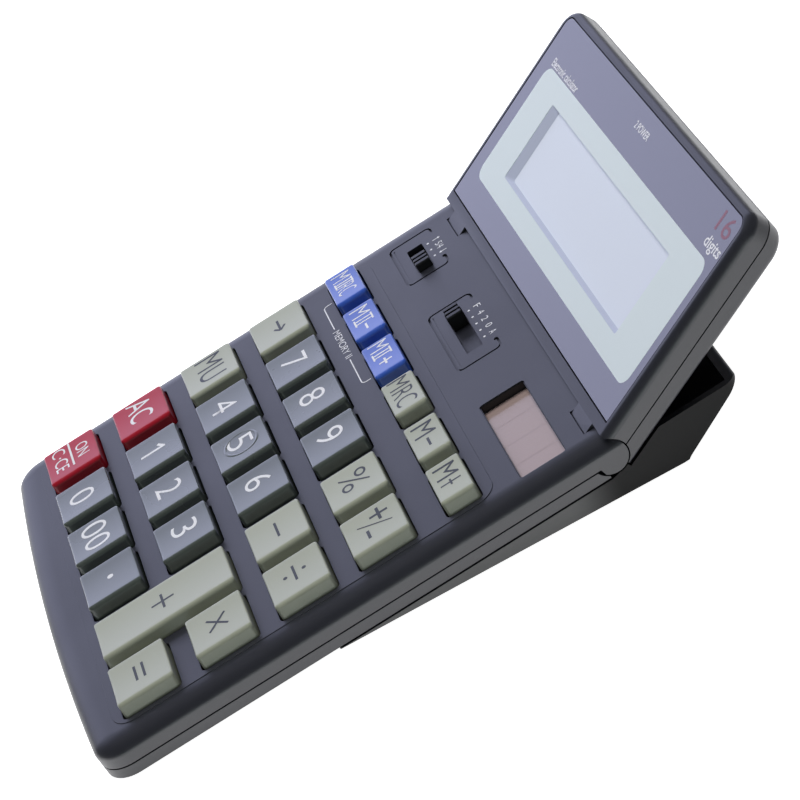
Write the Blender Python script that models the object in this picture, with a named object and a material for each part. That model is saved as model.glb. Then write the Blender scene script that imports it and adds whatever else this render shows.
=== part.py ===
# Desktop calculator with a tilting display, modelled in its body frame and stood on its feet.
# Body frame: X across, Y from the front edge to the hinge, Z up from the underside of the case.

import bpy
import bmesh
import math
from mathutils import Matrix, Vector

for old in list(bpy.data.objects):
    bpy.data.objects.remove(old, do_unlink=True)

mm = 0.001
degree = math.pi / 180

# Keys
key_pitch = 22 * mm
key_extra_gap = 2 * mm
key_width = 18.9 * mm
key_depth = 15.5 * mm
small_key_depth = 9.2 * mm
first_row = 21 * mm
memory_step = 21.1 * mm
key_proud = 3.3 * mm
key_draft = 0.7 * mm
key_edge = 0.95 * mm
key_end_draft = 0.1 * mm
key_end_edge = 0.4 * mm
key_corner = 1 * mm
key_hollow_rise = 1.3 * mm
key_wall = 3.2 * mm
key_end_wall = 2.1 * mm
key_travel = 2 * mm
key_flange = 0.8 * mm
flange_height = 1 * mm
key_clearance = 0.35 * mm
column_count = 6
row_count = 4

# The columns and rows set the width and the length of the case
key_side_margin = 18 * mm
memory_row = first_row + key_pitch * (row_count - 1) + memory_step
first_column = -((column_count - 1) * key_pitch + key_extra_gap) / 2
body_width = 2 * (key_side_margin - first_column)
half_width = body_width / 2

# Case
case_top = 9.6 * mm
seam_height = 3.5 * mm
corner_radius = 8 * mm
front_bow = 2.4 * mm
shoulder_reach = 6.6 * mm
shoulder_drop = 3.2 * mm
case_wall = 2 * mm
side_wall = 4 * mm
floor_wall = 1.4 * mm
gap = 0.3 * mm
overrun = 5 * mm

# Hinge and display
strip_depth = 34.9 * mm
nose_radius = 4.5 * mm
hinge_y = memory_row + strip_depth
hinge_z = case_top - nose_radius
hinge_gap = 0.35 * mm
pin_radius = 1.5 * mm
pin_reach = 3.5 * mm
knuckle_length = 11 * mm
left_knuckle_inset = 16.4 * mm
right_knuckle_inset = 13.9 * mm
knuckle_middles = (left_knuckle_inset - half_width, half_width - right_knuckle_inset)
knuckle_gap = 0.42 * mm
display_angle = 27 * degree
display_height = 65.9 * mm
display_front = nose_radius
display_seam = -1.4 * mm
display_back = -5.8 * mm
display_corner = 6 * mm
cover_start = 0.9 * mm

# Stand under the case
wedge_start = 60 * mm
wedge_angle = 4.15 * degree
wedge_lip = 0.4 * mm
wedge_reach = 15.2 * mm
tray_reach = 35 * mm
wedge_end = hinge_y + wedge_reach
tray_rear = hinge_y + tray_reach
tray_rim = 5.3 * mm
tray_wall = 2 * mm

# Feet
foot_radius = 4.5 * mm
foot_inset = 16 * mm
front_foot_y = 14 * mm
rear_foot_reach = 7 * mm
rear_foot_y = hinge_y + rear_foot_reach
front_foot_drop = 1.3 * mm
rear_foot_drop = 1 * mm
foot_socket = 0.7 * mm
foot_edge = 0.4 * mm

# Shares chosen by hand, of the sizes that they are multiplied by
tightest_corner_share = 0.15
tightest_display_corner_share = 0.2
saddle_share = 0.49
rear_wall_share = 1.4

top_inner = case_top - case_wall
pin_half = knuckle_length / 2 + pin_reach


def wedge_z(y):
    """Height of the stand's underside at a distance y from the front edge."""
    return -math.tan(wedge_angle) * (y - wedge_start)


foot_fall = (-front_foot_drop) - (wedge_z(rear_foot_y) - rear_foot_drop)
desk_tilt = math.atan(foot_fall / (rear_foot_y - front_foot_y))


# Frames that the pieces hang on

body_frame = bpy.data.objects.new("body_frame", None)
bpy.context.scene.collection.objects.link(body_frame)
body_frame.rotation_euler.x = desk_tilt

display_frame = bpy.data.objects.new("display_frame", None)
bpy.context.scene.collection.objects.link(display_frame)
display_frame.parent = body_frame
display_frame.location = (0, hinge_y, hinge_z)
display_frame.rotation_euler.x = display_angle


# Materials

def make_material(name, colour, roughness, metallic=0.0, alpha=1.0):
    material = bpy.data.materials.new(name)
    material.use_nodes = True
    shader = material.node_tree.nodes["Principled BSDF"]
    shader.inputs["Base Color"].default_value = (*colour, 1)
    shader.inputs["Roughness"].default_value = roughness
    shader.inputs["Metallic"].default_value = metallic
    shader.inputs["Alpha"].default_value = alpha
    return material


slate_plastic = make_material("slate_plastic", (0.10, 0.10, 0.13), 0.45)
black_plastic = make_material("black_plastic", (0.02, 0.02, 0.022), 0.5)
grey_key = make_material("grey_key", (0.22, 0.24, 0.30), 0.35)
ivory_key = make_material("ivory_key", (0.48, 0.49, 0.42), 0.35)
red_key = make_material("red_key", (0.50, 0.03, 0.05), 0.35)
blue_key = make_material("blue_key", (0.07, 0.14, 0.62), 0.35)
black_rubber = make_material("black_rubber", (0.03, 0.03, 0.03), 0.85)
clear_window = make_material("clear_window", (0.62, 0.64, 0.70), 0.08, alpha=0.35)
glass = make_material("glass", (0.60, 0.64, 0.66), 0.1)
green_board = make_material("green_board", (0.02, 0.16, 0.06), 0.5)
solar_film = make_material("solar_film", (0.30, 0.20, 0.21), 0.3)
steel = make_material("steel", (0.55, 0.55, 0.57), 0.3, metallic=1.0)


# Modelling helpers

def add_object(name, mesh_builder, parent, material=None, location=(0, 0, 0), rotation_x=0.0):
    mesh = bpy.data.meshes.new(name)
    bm = bmesh.new()
    mesh_builder(bm)
    bmesh.ops.recalc_face_normals(bm, faces=bm.faces)
    bm.to_mesh(mesh)
    bm.free()
    item = bpy.data.objects.new(name, mesh)
    bpy.context.scene.collection.objects.link(item)
    item.parent = parent
    item.location = location
    item.rotation_euler.x = rotation_x
    if material:
        mesh.materials.append(material)
    return item


def add_cutter(name, mesh_builder, parent, location=(0, 0, 0), rotation_x=0.0):
    cutter = add_object(name, mesh_builder, parent, None, location, rotation_x)
    cutter.hide_render = True
    cutter.display_type = "WIRE"
    return cutter


def combine(target, other, operation):
    modifier = target.modifiers.new(other.name, "BOOLEAN")
    modifier.operation = operation
    modifier.object = other
    modifier.solver = "EXACT"
    return target


def loft(rings):
    """A closed solid through rings of the same number of points."""
    def build(bm):
        rows = [[bm.verts.new(point) for point in ring] for ring in rings]
        count = len(rings[0])
        for lower, upper in zip(rows, rows[1:]):
            for i in range(count):
                j = (i + 1) % count
                bm.faces.new((lower[i], lower[j], upper[j], upper[i]))
        bm.faces.new(list(reversed(rows[0])))
        bm.faces.new(rows[-1])
    return build


def across(profile, x_low, x_high):
    """A side profile of (y, z) points run across the body."""
    return loft([[(x, y, z) for y, z in profile] for x in (x_low, x_high)])


def boxes(corner_pairs):
    """One or more separate blocks, each from its lowest to its highest corner."""
    def build(bm):
        for low, high in corner_pairs:
            size = [b - a for a, b in zip(low, high)]
            middle = [(a + b) / 2 for a, b in zip(low, high)]
            place = Matrix.Translation(middle) @ Matrix.Diagonal((*size, 1))
            bmesh.ops.create_cube(bm, size=1, matrix=place)
    return build


def drums(places, radius, z_low, z_high, sides=24):
    """Upright cylinders at (x, y) places."""
    def build(bm):
        for x, y in places:
            place = Matrix.Translation((x, y, (z_low + z_high) / 2))
            bmesh.ops.create_cone(bm, cap_ends=True, segments=sides, radius1=radius,
                                  radius2=radius, depth=z_high - z_low, matrix=place)
    return build


def axle(x_low, x_high, radius, sides=32):
    """A cylinder along X, centred on its object's origin."""
    def build(bm):
        place = Matrix.Translation(((x_low + x_high) / 2, 0, 0)) @ Matrix.Rotation(90 * degree, 4, "Y")
        bmesh.ops.create_cone(bm, cap_ends=True, segments=sides, radius1=radius,
                              radius2=radius, depth=x_high - x_low, matrix=place)
    return build


def arc(centre_y, centre_z, radius, start, end, steps):
    """Points (y, z) round a centre; angles in degrees from +Y towards +Z."""
    points = []
    for i in range(steps + 1):
        angle = (start + (end - start) * i / steps) * degree
        points.append((centre_y + radius * math.cos(angle), centre_z + radius * math.sin(angle)))
    return points


def circle_ring(radius, z, sides=24):
    return [(radius * math.cos(2 * math.pi * i / sides), radius * math.sin(2 * math.pi * i / sides), z)
            for i in range(sides)]


def rounded_rectangle(width, depth, radius, z, steps=2, centre=(0, 0)):
    """A ring of points with rounded corners, anticlockwise from the rear right."""
    points = []
    for quarter in range(4):
        sign_x, sign_y = ((1, 1), (-1, 1), (-1, -1), (1, -1))[quarter]
        corner_x = centre[0] + sign_x * (width / 2 - radius)
        corner_y = centre[1] + sign_y * (depth / 2 - radius)
        for i in range(steps + 1):
            angle = (quarter + i / steps) * 90 * degree
            points.append((corner_x + radius * math.cos(angle), corner_y + radius * math.sin(angle), z))
    return points


# Outline of the case seen from above: straight sides, round front corners and a bowed front edge

def case_outline(inset, z, rear_y):
    half = half_width - inset
    radius = max(corner_radius - inset, corner_radius * tightest_corner_share)
    flat_half = half - radius
    bow_steps, corner_steps = 8, 5
    points = [(half, rear_y, z)]
    side_start = front_bow + corner_radius
    for i in range(corner_steps):
        angle = -i / corner_steps * 90 * degree
        points.append((flat_half + radius * math.cos(angle), side_start + radius * math.sin(angle), z))
    for i in range(bow_steps + 1):
        along = 1 - 2 * i / bow_steps
        points.append((flat_half * along, front_bow * along * along + inset, z))
    for i in reversed(range(corner_steps)):
        angle = -i / corner_steps * 90 * degree
        points.append((-flat_half - radius * math.cos(angle), side_start + radius * math.sin(angle), z))
    points.append((-half, rear_y, z))
    return points


def shoulder_rings(z_low, rear_y, steps=5):
    """Rings from a straight side up over the round shoulder to the flat top."""
    rings = [case_outline(0, z_low, rear_y)]
    for i in range(steps + 1):
        angle = 90 * degree * i / steps
        inset = shoulder_reach * (1 - math.cos(angle))
        rings.append(case_outline(inset, case_top - shoulder_drop * (1 - math.sin(angle)), rear_y))
    return rings


# Key layout: name, column, row and material for each full-size key, then the memory row

key_columns = [first_column + key_pitch * i + (key_extra_gap if i > 3 else 0) for i in range(column_count)]
key_rows = [first_row + key_pitch * i for i in range(row_count)]

key_table = [
    ("key_on", 0, 0, red_key), ("key_0", 1, 0, grey_key), ("key_00", 2, 0, grey_key),
    ("key_point", 3, 0, grey_key), ("key_equals", 5, 0, ivory_key),
    ("key_all_clear", 0, 1, red_key), ("key_1", 1, 1, grey_key), ("key_2", 2, 1, grey_key),
    ("key_3", 3, 1, grey_key), ("key_times", 5, 1, ivory_key),
    ("key_markup", 0, 2, ivory_key), ("key_4", 1, 2, grey_key), ("key_5", 2, 2, grey_key),
    ("key_6", 3, 2, grey_key), ("key_minus", 4, 2, ivory_key), ("key_divide", 5, 2, ivory_key),
    ("key_shift_right", 0, 3, ivory_key), ("key_7", 1, 3, grey_key), ("key_8", 2, 3, grey_key),
    ("key_9", 3, 3, grey_key), ("key_percent", 4, 3, ivory_key), ("key_sign", 5, 3, ivory_key),
]
memory_table = [
    ("key_memory2_recall", 0, blue_key), ("key_memory2_minus", 1, blue_key),
    ("key_memory2_plus", 2, blue_key), ("key_memory_recall", 3, ivory_key),
    ("key_memory_minus", 4, ivory_key), ("key_memory_plus", 5, ivory_key),
]

key_list = [(name, key_columns[c], key_rows[r], key_depth, finish) for name, c, r, finish in key_table]
key_list += [(name, key_columns[c], memory_row, small_key_depth, finish) for name, c, finish in memory_table]
plus_depth = key_depth + key_pitch
key_list.append(("key_plus", key_columns[4], (key_rows[0] + key_rows[1]) / 2, plus_depth, ivory_key))


# Switches and solar window on the strip behind the keys

switch_pitch = 3.9 * mm
switch_slot_depth = 4.2 * mm
switch_step = 21 * mm
switch_y = memory_row + switch_step
rounding_inset = 16.7 * mm
decimal_first = -13.9 * mm
slot_end = 3.1 * mm
rounding_slot_end = 3 * mm
rounding_first = rounding_inset - half_width
rounding_last = rounding_first + 2 * switch_pitch
decimal_last = decimal_first + 4 * switch_pitch
rounding_slot = (rounding_first - slot_end, rounding_last + rounding_slot_end)
decimal_slot = (decimal_first - slot_end, decimal_last + slot_end)
knob_width = 5.2 * mm
knob_depth = 3.6 * mm
knob_proud = 1.7 * mm
knob_plate = 1.2 * mm
knob_rib_depth = 0.35 * mm
shutter_lap = 1 * mm
shutter_margin = 1.2 * mm

solar_inset = 6.6 * mm
solar_width = 36.6 * mm
solar_step = 14.3 * mm
solar_reach = 12.8 * mm
solar_high = (half_width - solar_inset, memory_row + solar_step + solar_reach)
solar_low = (solar_high[0] - solar_width, memory_row + solar_step)
solar_depth = 1.5 * mm
solar_thickness = 1.1 * mm
window_thickness = 0.8 * mm
solar_ledge = 1 * mm

# Screws that hold stand, lower case and upper case together
case_screw_x = 34 * mm
case_screw_step = 9.9 * mm
case_screw_y = memory_row + case_screw_step
screw_radius = 1.2 * mm
screw_head_radius = 2.4 * mm
screw_head_height = 1.4 * mm
boss_radius = 3 * mm
screw_recess = 0.4 * mm
screw_top = 6.5 * mm
cross_length = 2.6 * mm
cross_width = 0.6 * mm
cross_depth = 0.8 * mm


# Upper case

panel_recess = 0.4 * mm
panel_margin = 6.4 * mm
panel_front = 10.1 * mm
panel_step = 8.2 * mm
panel_half_width = half_width - panel_margin
panel_rear = memory_row + panel_step
panel_radius = 5.5 * mm
groove_width = 0.7 * mm
groove_depth = 0.35 * mm
switch_frame_depth = 12.5 * mm
switch_frame_radius = 2.2 * mm
rounding_border = 8 * mm
rounding_far_border = 7.6 * mm
decimal_border = 9 * mm
decimal_far_border = 8.9 * mm
rounding_frame = (rounding_first - rounding_border, rounding_last + rounding_far_border)
decimal_frame = (decimal_first - decimal_border, decimal_last + decimal_far_border)
frame_step = 14.3 * mm
frame_front = memory_row + frame_step


def upper_case():
    case = add_object("upper_case", loft(shoulder_rings(seam_height - overrun, hinge_y + 2 * nose_radius)),
                      body_frame, slate_plastic)
    nose = arc(hinge_y, hinge_z, nose_radius, 90, -130, 16)
    side = [(-overrun, seam_height), (-overrun, case_top + overrun), (hinge_y, case_top + overrun)]
    under_nose = hinge_y - 3 * nose_radius / 4
    profile = side + nose + [(under_nose, seam_height)]
    side_view = add_cutter("case_profile", across(profile, -body_width, body_width), body_frame)
    combine(case, side_view, "INTERSECT")

    cavity_half = half_width - side_wall
    cavity = boxes([((-cavity_half, front_bow + side_wall, -overrun),
                     (cavity_half, hinge_y - nose_radius - case_wall, top_inner))])
    combine(case, add_cutter("upper_cavity", cavity, body_frame), "DIFFERENCE")

    bosses = drums([(-case_screw_x, case_screw_y), (case_screw_x, case_screw_y)], boss_radius,
                   seam_height, top_inner + case_wall / 2, 16)
    combine(case, add_cutter("screw_bosses", bosses, body_frame), "UNION")
    pilots = drums([(-case_screw_x, case_screw_y), (case_screw_x, case_screw_y)], screw_radius + gap,
                   -overrun, top_inner, 12)
    combine(case, add_cutter("screw_pilots", pilots, body_frame), "DIFFERENCE")

    recess = rounded_rectangle(2 * panel_half_width, panel_rear - panel_front, panel_radius,
                               case_top - panel_recess, 4, (0, (panel_rear + panel_front) / 2))
    above = [(x, y, case_top + overrun) for x, y, z in recess]
    combine(case, add_cutter("panel_recess", loft([recess, above]), body_frame), "DIFFERENCE")

    openings = []
    for name, x, y, depth, finish in key_list:
        half_x = key_width / 2 + key_clearance
        half_y = depth / 2 + key_clearance
        openings.append(((x - half_x, y - half_y, top_inner - overrun),
                         (x + half_x, y + half_y, case_top + overrun)))
    for low_x, high_x in (rounding_slot, decimal_slot):
        openings.append(((low_x, switch_y - switch_slot_depth / 2, top_inner - overrun),
                         (high_x, switch_y + switch_slot_depth / 2, case_top + overrun)))
    openings.append(((*solar_low, case_top - solar_depth), (*solar_high, case_top + overrun)))
    combine(case, add_cutter("case_openings", boxes(openings), body_frame), "DIFFERENCE")
    light_well = boxes([((solar_low[0] + solar_ledge, solar_low[1] + solar_ledge, top_inner - overrun),
                         (solar_high[0] - solar_ledge, solar_high[1] - solar_ledge, case_top + overrun))])
    combine(case, add_cutter("light_well", light_well, body_frame), "DIFFERENCE")

    frames = []
    for number, (low_x, high_x) in enumerate((rounding_frame, decimal_frame)):
        frames.append(frame_groove("switch_groove_%d" % number, low_x, high_x))
    for groove in frames:
        combine(case, groove, "DIFFERENCE")

    for number, middle in enumerate(knuckle_middles):
        half = knuckle_length / 2 + hinge_gap
        notch = axle(middle - half, middle + half, nose_radius + knuckle_gap)
        combine(case, add_cutter("knuckle_notch_%d" % number, notch, body_frame,
                                 (0, hinge_y, hinge_z)), "DIFFERENCE")
        bore = axle(middle - pin_half - gap, middle + pin_half + gap, pin_radius + gap, 16)
        combine(case, add_cutter("pin_bore_%d" % number, bore, body_frame,
                                 (0, hinge_y, hinge_z)), "DIFFERENCE")
    return case


def frame_groove(name, low_x, high_x):
    """An engraved rounded frame, open at the rear where the labels stand."""
    middle_x = (low_x + high_x) / 2
    middle_y = frame_front + switch_frame_depth / 2
    floor_z = case_top - groove_depth
    outer = rounded_rectangle(high_x - low_x, switch_frame_depth, switch_frame_radius, floor_z,
                              3, (middle_x, middle_y))
    inner = rounded_rectangle(high_x - low_x - 2 * groove_width, switch_frame_depth - 2 * groove_width,
                              switch_frame_radius - groove_width, floor_z, 3, (middle_x, middle_y))

    def build(bm):
        rows = []
        for ring, z in ((outer, floor_z), (outer, case_top + overrun),
                        (inner, case_top + overrun), (inner, floor_z)):
            rows.append([bm.verts.new((x, y, z)) for x, y, _ in ring])
        count = len(outer)
        # The break lies between the two rear corners, from the end of one corner to the start of the next
        order = [(i + 4) % count for i in range(count)]
        for a, b in zip(order, order[1:]):
            for first, second in ((0, 1), (1, 2), (2, 3), (3, 0)):
                bm.faces.new((rows[first][a], rows[first][b], rows[second][b], rows[second][a]))
        bm.faces.new([rows[k][order[0]] for k in range(4)])
        bm.faces.new([rows[k][order[-1]] for k in reversed(range(4))])
    return add_cutter(name, build, body_frame)


# Lower case

def lower_case():
    bottom_edge = 0.8 * mm
    rear_y = hinge_y - saddle_share * nose_radius
    rings = [case_outline(bottom_edge, 0, rear_y), case_outline(0, bottom_edge, rear_y),
             case_outline(0, seam_height - gap, rear_y)]
    case = add_object("lower_case", loft(rings), body_frame, slate_plastic)
    cavity_half = half_width - side_wall
    cavity = boxes([((-cavity_half, front_bow + side_wall, floor_wall),
                     (cavity_half, hinge_y - nose_radius - case_wall, seam_height + overrun))])
    combine(case, add_cutter("lower_cavity", cavity, body_frame), "DIFFERENCE")
    saddle = axle(-body_width, body_width, nose_radius + hinge_gap, 48)
    combine(case, add_cutter("nose_saddle", saddle, body_frame, (0, hinge_y, hinge_z)), "DIFFERENCE")
    screw_holes = drums([(-case_screw_x, case_screw_y), (case_screw_x, case_screw_y)], screw_radius + gap,
                        -overrun, seam_height, 16)
    combine(case, add_cutter("lower_screw_holes", screw_holes, body_frame), "DIFFERENCE")
    for side_sign in (-1, 1):
        combine(case, foot_socket_cutter("front", side_sign), "DIFFERENCE")
    return case


# Stand with the tray behind the hinge

battery_place = (0, 130.5 * mm)
battery_radius = 10 * mm
battery_height = 2.5 * mm
door_width = 27 * mm
door_depth = 25 * mm
door_thickness = 1.1 * mm
nail_notch = 8 * mm
tray_start = 3.2 * mm
tray_front = hinge_y + tray_start
rear_corner = 4 * mm
display_swing = 2 * mm
rim_edge = 1 * mm


def display_point(along, out):
    """The (y, z) place of a point of the resting display, along its face and out from the axis."""
    cosine, sine = math.cos(display_angle), math.sin(display_angle)
    return (hinge_y + along * cosine - out * sine, hinge_z + along * sine + out * cosine)


def stand():
    top = -gap
    start = wedge_start + (gap + wedge_lip) / math.tan(wedge_angle)
    tip = cover_start - hinge_gap
    rest_out = display_back - hinge_gap
    rest_along = (tray_rim - hinge_z - rest_out * math.cos(display_angle)) / math.sin(display_angle)
    profile = [(start, wedge_z(start)), (start, top), (hinge_y - saddle_share * nose_radius, top)]
    profile += arc(hinge_y, hinge_z, nose_radius + hinge_gap, -90, -57, 5)
    profile += [display_point(tip, rest_out), display_point(rest_along, rest_out),
                (tray_rear - rim_edge, tray_rim), (tray_rear, tray_rim - rim_edge),
                (wedge_end + rim_edge, wedge_z(wedge_end) + rim_edge / 2),
                (wedge_end - rim_edge, wedge_z(wedge_end - rim_edge))]
    base = add_object("stand", across(profile, -half_width, half_width), body_frame, black_plastic)

    outline = rounded_rectangle(body_width, 2 * tray_rear, rear_corner, -tray_rear, 4)
    upper = [(x, y, tray_rear) for x, y, z in outline]
    combine(base, add_cutter("stand_outline", loft([outline, upper]), body_frame), "INTERSECT")

    inner_half = half_width - tray_wall
    floor_rise = tray_wall / math.cos(wedge_angle)
    hollow_rear = tray_rear - rear_wall_share * tray_wall
    hollow = [(tray_front, wedge_z(tray_front) + floor_rise),
              (wedge_end - tray_wall / 2, wedge_z(wedge_end) + floor_rise),
              (hollow_rear, tray_rim - tray_wall), (hollow_rear, tray_rim + overrun),
              (tray_front, tray_rim + overrun)]
    tray = add_cutter("tray_hollow", across(hollow, -inner_half, inner_half), body_frame)
    combine(base, tray, "DIFFERENCE")

    # Room for the display's lower end between the side walls
    room = [(hinge_y - 2 * nose_radius, -gap + overrun)]
    room += arc(hinge_y, hinge_z, nose_radius + display_swing, -125, 20, 9)
    swing_room = add_cutter("display_room", across(room, -inner_half, inner_half), body_frame)
    combine(base, swing_room, "DIFFERENCE")

    well_y = battery_place[1]
    well_frame = (0, well_y, wedge_z(well_y))
    well = drums([(0, 0)], battery_radius + gap, -overrun, 3 * overrun, 32)
    combine(base, add_cutter("battery_well", well, body_frame, well_frame, -wedge_angle), "DIFFERENCE")
    door_half = door_width / 2 + gap
    pocket = boxes([((-door_half, -door_depth / 2 - gap, -overrun),
                     (door_half, door_depth / 2 + gap, door_thickness + gap))])
    combine(base, add_cutter("door_pocket", pocket, body_frame, well_frame, -wedge_angle), "DIFFERENCE")
    notch = boxes([((battery_radius - gap, -contact_width / 2 - gap, door_thickness),
                    (battery_radius + 2 * gap + contact_thickness, contact_width / 2 + gap, 3 * overrun))])
    combine(base, add_cutter("contact_notch", notch, body_frame, well_frame, -wedge_angle), "DIFFERENCE")
    nail = drums([(0, door_depth / 2)], nail_notch / 2, -overrun, door_thickness, 16)
    combine(base, add_cutter("nail_notch", nail, body_frame, well_frame, -wedge_angle), "DIFFERENCE")
    for side_sign in (-1, 1):
        combine(base, foot_socket_cutter("rear", side_sign), "DIFFERENCE")
        place = (side_sign * case_screw_x, case_screw_y)
        head_top = wedge_z(case_screw_y) + screw_recess + screw_head_height + gap
        hole = drums([place], screw_radius + gap, -overrun * 3, overrun, 16)
        combine(base, add_cutter("stand_screw_hole_%d" % side_sign, hole, body_frame), "DIFFERENCE")
        bore = drums([place], screw_head_radius + gap, -overrun * 3, head_top, 16)
        combine(base, add_cutter("stand_counterbore_%d" % side_sign, bore, body_frame), "DIFFERENCE")
    return base


# Feet stand square to the desk, so their axes lean back by the tilt of the body

def foot_place(end, side_sign):
    if end == "front":
        return (side_sign * (half_width - foot_inset), front_foot_y, -front_foot_drop)
    return (side_sign * (half_width - foot_inset), rear_foot_y, wedge_z(rear_foot_y) - rear_foot_drop)


def foot_socket_cutter(end, side_sign):
    drop = front_foot_drop if end == "front" else rear_foot_drop
    cutter = drums([(0, 0)], foot_radius + gap, -overrun, drop + foot_socket, 24)
    name = "socket_%s_%d" % (end, side_sign)
    return add_cutter(name, cutter, body_frame, foot_place(end, side_sign), -desk_tilt)


def foot(end, side_sign):
    side = "left" if side_sign < 0 else "right"
    drop = front_foot_drop if end == "front" else rear_foot_drop
    rings = []
    for radius, z in ((foot_radius - foot_edge, 0), (foot_radius, foot_edge),
                      (foot_radius, drop + foot_socket - gap)):
        rings.append(circle_ring(radius, z))
    return add_object("foot_%s_%s" % (end, side), loft(rings), body_frame, black_rubber,
                      foot_place(end, side_sign), -desk_tilt)


# Keys: drafted caps with a rounded rim, a retaining flange and a hollow underside

def key_cap(name, x, y, depth, finish):
    flange_top = top_inner - gap
    surface = case_top - panel_recess
    crown = case_top + key_proud
    radius = key_corner

    def ring(side_shrink, end_shrink, z, corner):
        width = key_width - 2 * side_shrink
        return rounded_rectangle(width, depth - 2 * end_shrink, corner, z - flange_top)

    rings = [ring(key_wall, key_end_wall, flange_top - flange_height + key_hollow_rise, radius / 2),
             ring(key_wall, key_end_wall, flange_top - flange_height, radius / 2),
             ring(-key_flange, -key_flange, flange_top - flange_height, radius / 2),
             ring(-key_flange, -key_flange, flange_top, radius / 2),
             ring(0, 0, flange_top, radius / 2),
             ring(0, 0, surface, radius)]
    # The two sides lean in more than the front and back ends, and have the softer edges
    for turn in (0, 45, 90):
        angle = turn * degree
        bend = 1 - math.cos(angle)
        rings.append(ring(key_draft + key_edge * bend, key_end_draft + key_end_edge * bend,
                          crown - key_edge * (1 - math.sin(angle)), radius))
    return add_object(name, loft(rings), body_frame, finish, (x, y, flange_top))


ring_outer = 5.3 * mm
ring_rim = 0.9 * mm
ring_rise = 0.35 * mm


def tactile_ring(cap):
    """The raised round rim that lets a finger find the middle key."""
    sides = 24

    def build(bm):
        crown = case_top + key_proud - (top_inner - gap)
        rows = []
        for radius, z in ((ring_outer, crown - ring_rise), (ring_outer, crown),
                          (ring_outer - ring_rim / 2, crown + ring_rise),
                          (ring_outer - ring_rim, crown), (ring_outer - ring_rim, crown - ring_rise)):
            rows.append([bm.verts.new(point) for point in circle_ring(radius, z, sides)])
        for lower, upper in zip(rows, rows[1:] + rows[:1]):
            for i in range(sides):
                j = (i + 1) % sides
                bm.faces.new((lower[i], lower[j], upper[j], upper[i]))
    combine(cap, add_cutter("tactile_ring", build, body_frame, cap.location), "UNION")


# Rubber mat and circuit board under the keys

board_inset = 10 * mm
board_half_width = half_width - board_inset
board_thickness = 1 * mm
board_margin = 2 * mm
mat_thickness = 0.9 * mm
dome_rise = 1.2 * mm
dome_radius = 3.4 * mm


def circuit_board():
    low = floor_wall + gap
    front = front_bow + side_wall + board_margin
    rear = hinge_y - nose_radius - case_wall - board_margin
    outline = boxes([((-board_half_width, front, low), (board_half_width, rear, low + board_thickness))])
    board = add_object("circuit_board", outline, body_frame, green_board)
    holes = drums([(-case_screw_x, case_screw_y), (case_screw_x, case_screw_y)], boss_radius + gap,
                  -overrun, overrun, 16)
    combine(board, add_cutter("board_holes", holes, body_frame), "DIFFERENCE")
    return board


def key_mat():
    low = floor_wall + 2 * gap + board_thickness
    high = low + mat_thickness
    rear = memory_row + small_key_depth / 2 + key_flange
    front = front_bow + side_wall + board_margin
    mat = add_object("key_mat", boxes([((-board_half_width, front, low), (board_half_width, rear, high))]),
                     body_frame, black_rubber)
    places = [(x, y) for name, x, y, depth, finish in key_list]

    def domes(bm):
        for x, y in places:
            place = Matrix.Translation((x, y, high + dome_rise / 2 - gap))
            bmesh.ops.create_cone(bm, cap_ends=True, segments=8, radius1=dome_radius,
                                  radius2=dome_radius / 2, depth=dome_rise, matrix=place)
    combine(mat, add_cutter("domes", domes, body_frame), "UNION")
    return mat


# Slide switches

# Where each rib of a grip rises, stays and falls, as shares of the pitch of the ribs
rib_shares = ((0.12, 1), (0.62, 1), (0.74, 0), (1.0, 0))
rib_start_share = 0.05
last_rib_share = 0.26


def switch_knob(name, places, slot, rest):
    """A ribbed slider in its slot, with a shutter under the case wall that keeps the whole slot closed."""
    shutter_top = top_inner - gap
    reach = max(slot[1] - min(places), max(places) - slot[0]) + shutter_lap
    half_y = switch_slot_depth / 2 + shutter_margin
    slider = add_object(name, boxes([((-reach, -half_y, -knob_plate), (reach, half_y, 0))]),
                        body_frame, black_plastic, (rest, switch_y, shutter_top))
    rib_count = 4
    rise = case_top + knob_proud - shutter_top
    left, right = -knob_width / 2, knob_width / 2
    outline = [(left, -knob_plate / 2)]
    for i in range(rib_count):
        for share, raised in rib_shares:
            if i == rib_count - 1 and not raised:
                continue
            along = (i + share) / (rib_count - last_rib_share)
            outline.append((left + knob_width * along, rise if raised else rise - knob_rib_depth))
    outline += [(right, rise - knob_rib_depth), (right, -knob_plate / 2)]
    outline[1] = (left + rib_start_share * knob_width, rise)
    rows = [[(px, py, pz) for px, pz in outline] for py in (knob_depth / 2, -knob_depth / 2)]
    combine(slider, add_cutter(name + "_grip", loft(rows), body_frame, slider.location), "UNION")
    return slider


# Solar cell under its window

def solar_pieces():
    window_top = case_top - solar_depth + window_thickness + gap
    ledge_z = case_top - solar_depth + gap
    low = (solar_low[0] + gap, solar_low[1] + gap, ledge_z)
    high = (solar_high[0] - gap, solar_high[1] - gap, window_top)
    add_object("solar_window", boxes([(low, high)]), body_frame, clear_window)
    cell_top = ledge_z - gap
    low = (solar_low[0] + solar_ledge + gap, solar_low[1] + solar_ledge + gap, cell_top - solar_thickness)
    high = (solar_high[0] - solar_ledge - gap, solar_high[1] - solar_ledge - gap, cell_top)
    add_object("solar_cell", boxes([(low, high)]), body_frame, solar_film)


# Display: bezel and back cover meet at a seam and wrap round the hinge nose

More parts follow.
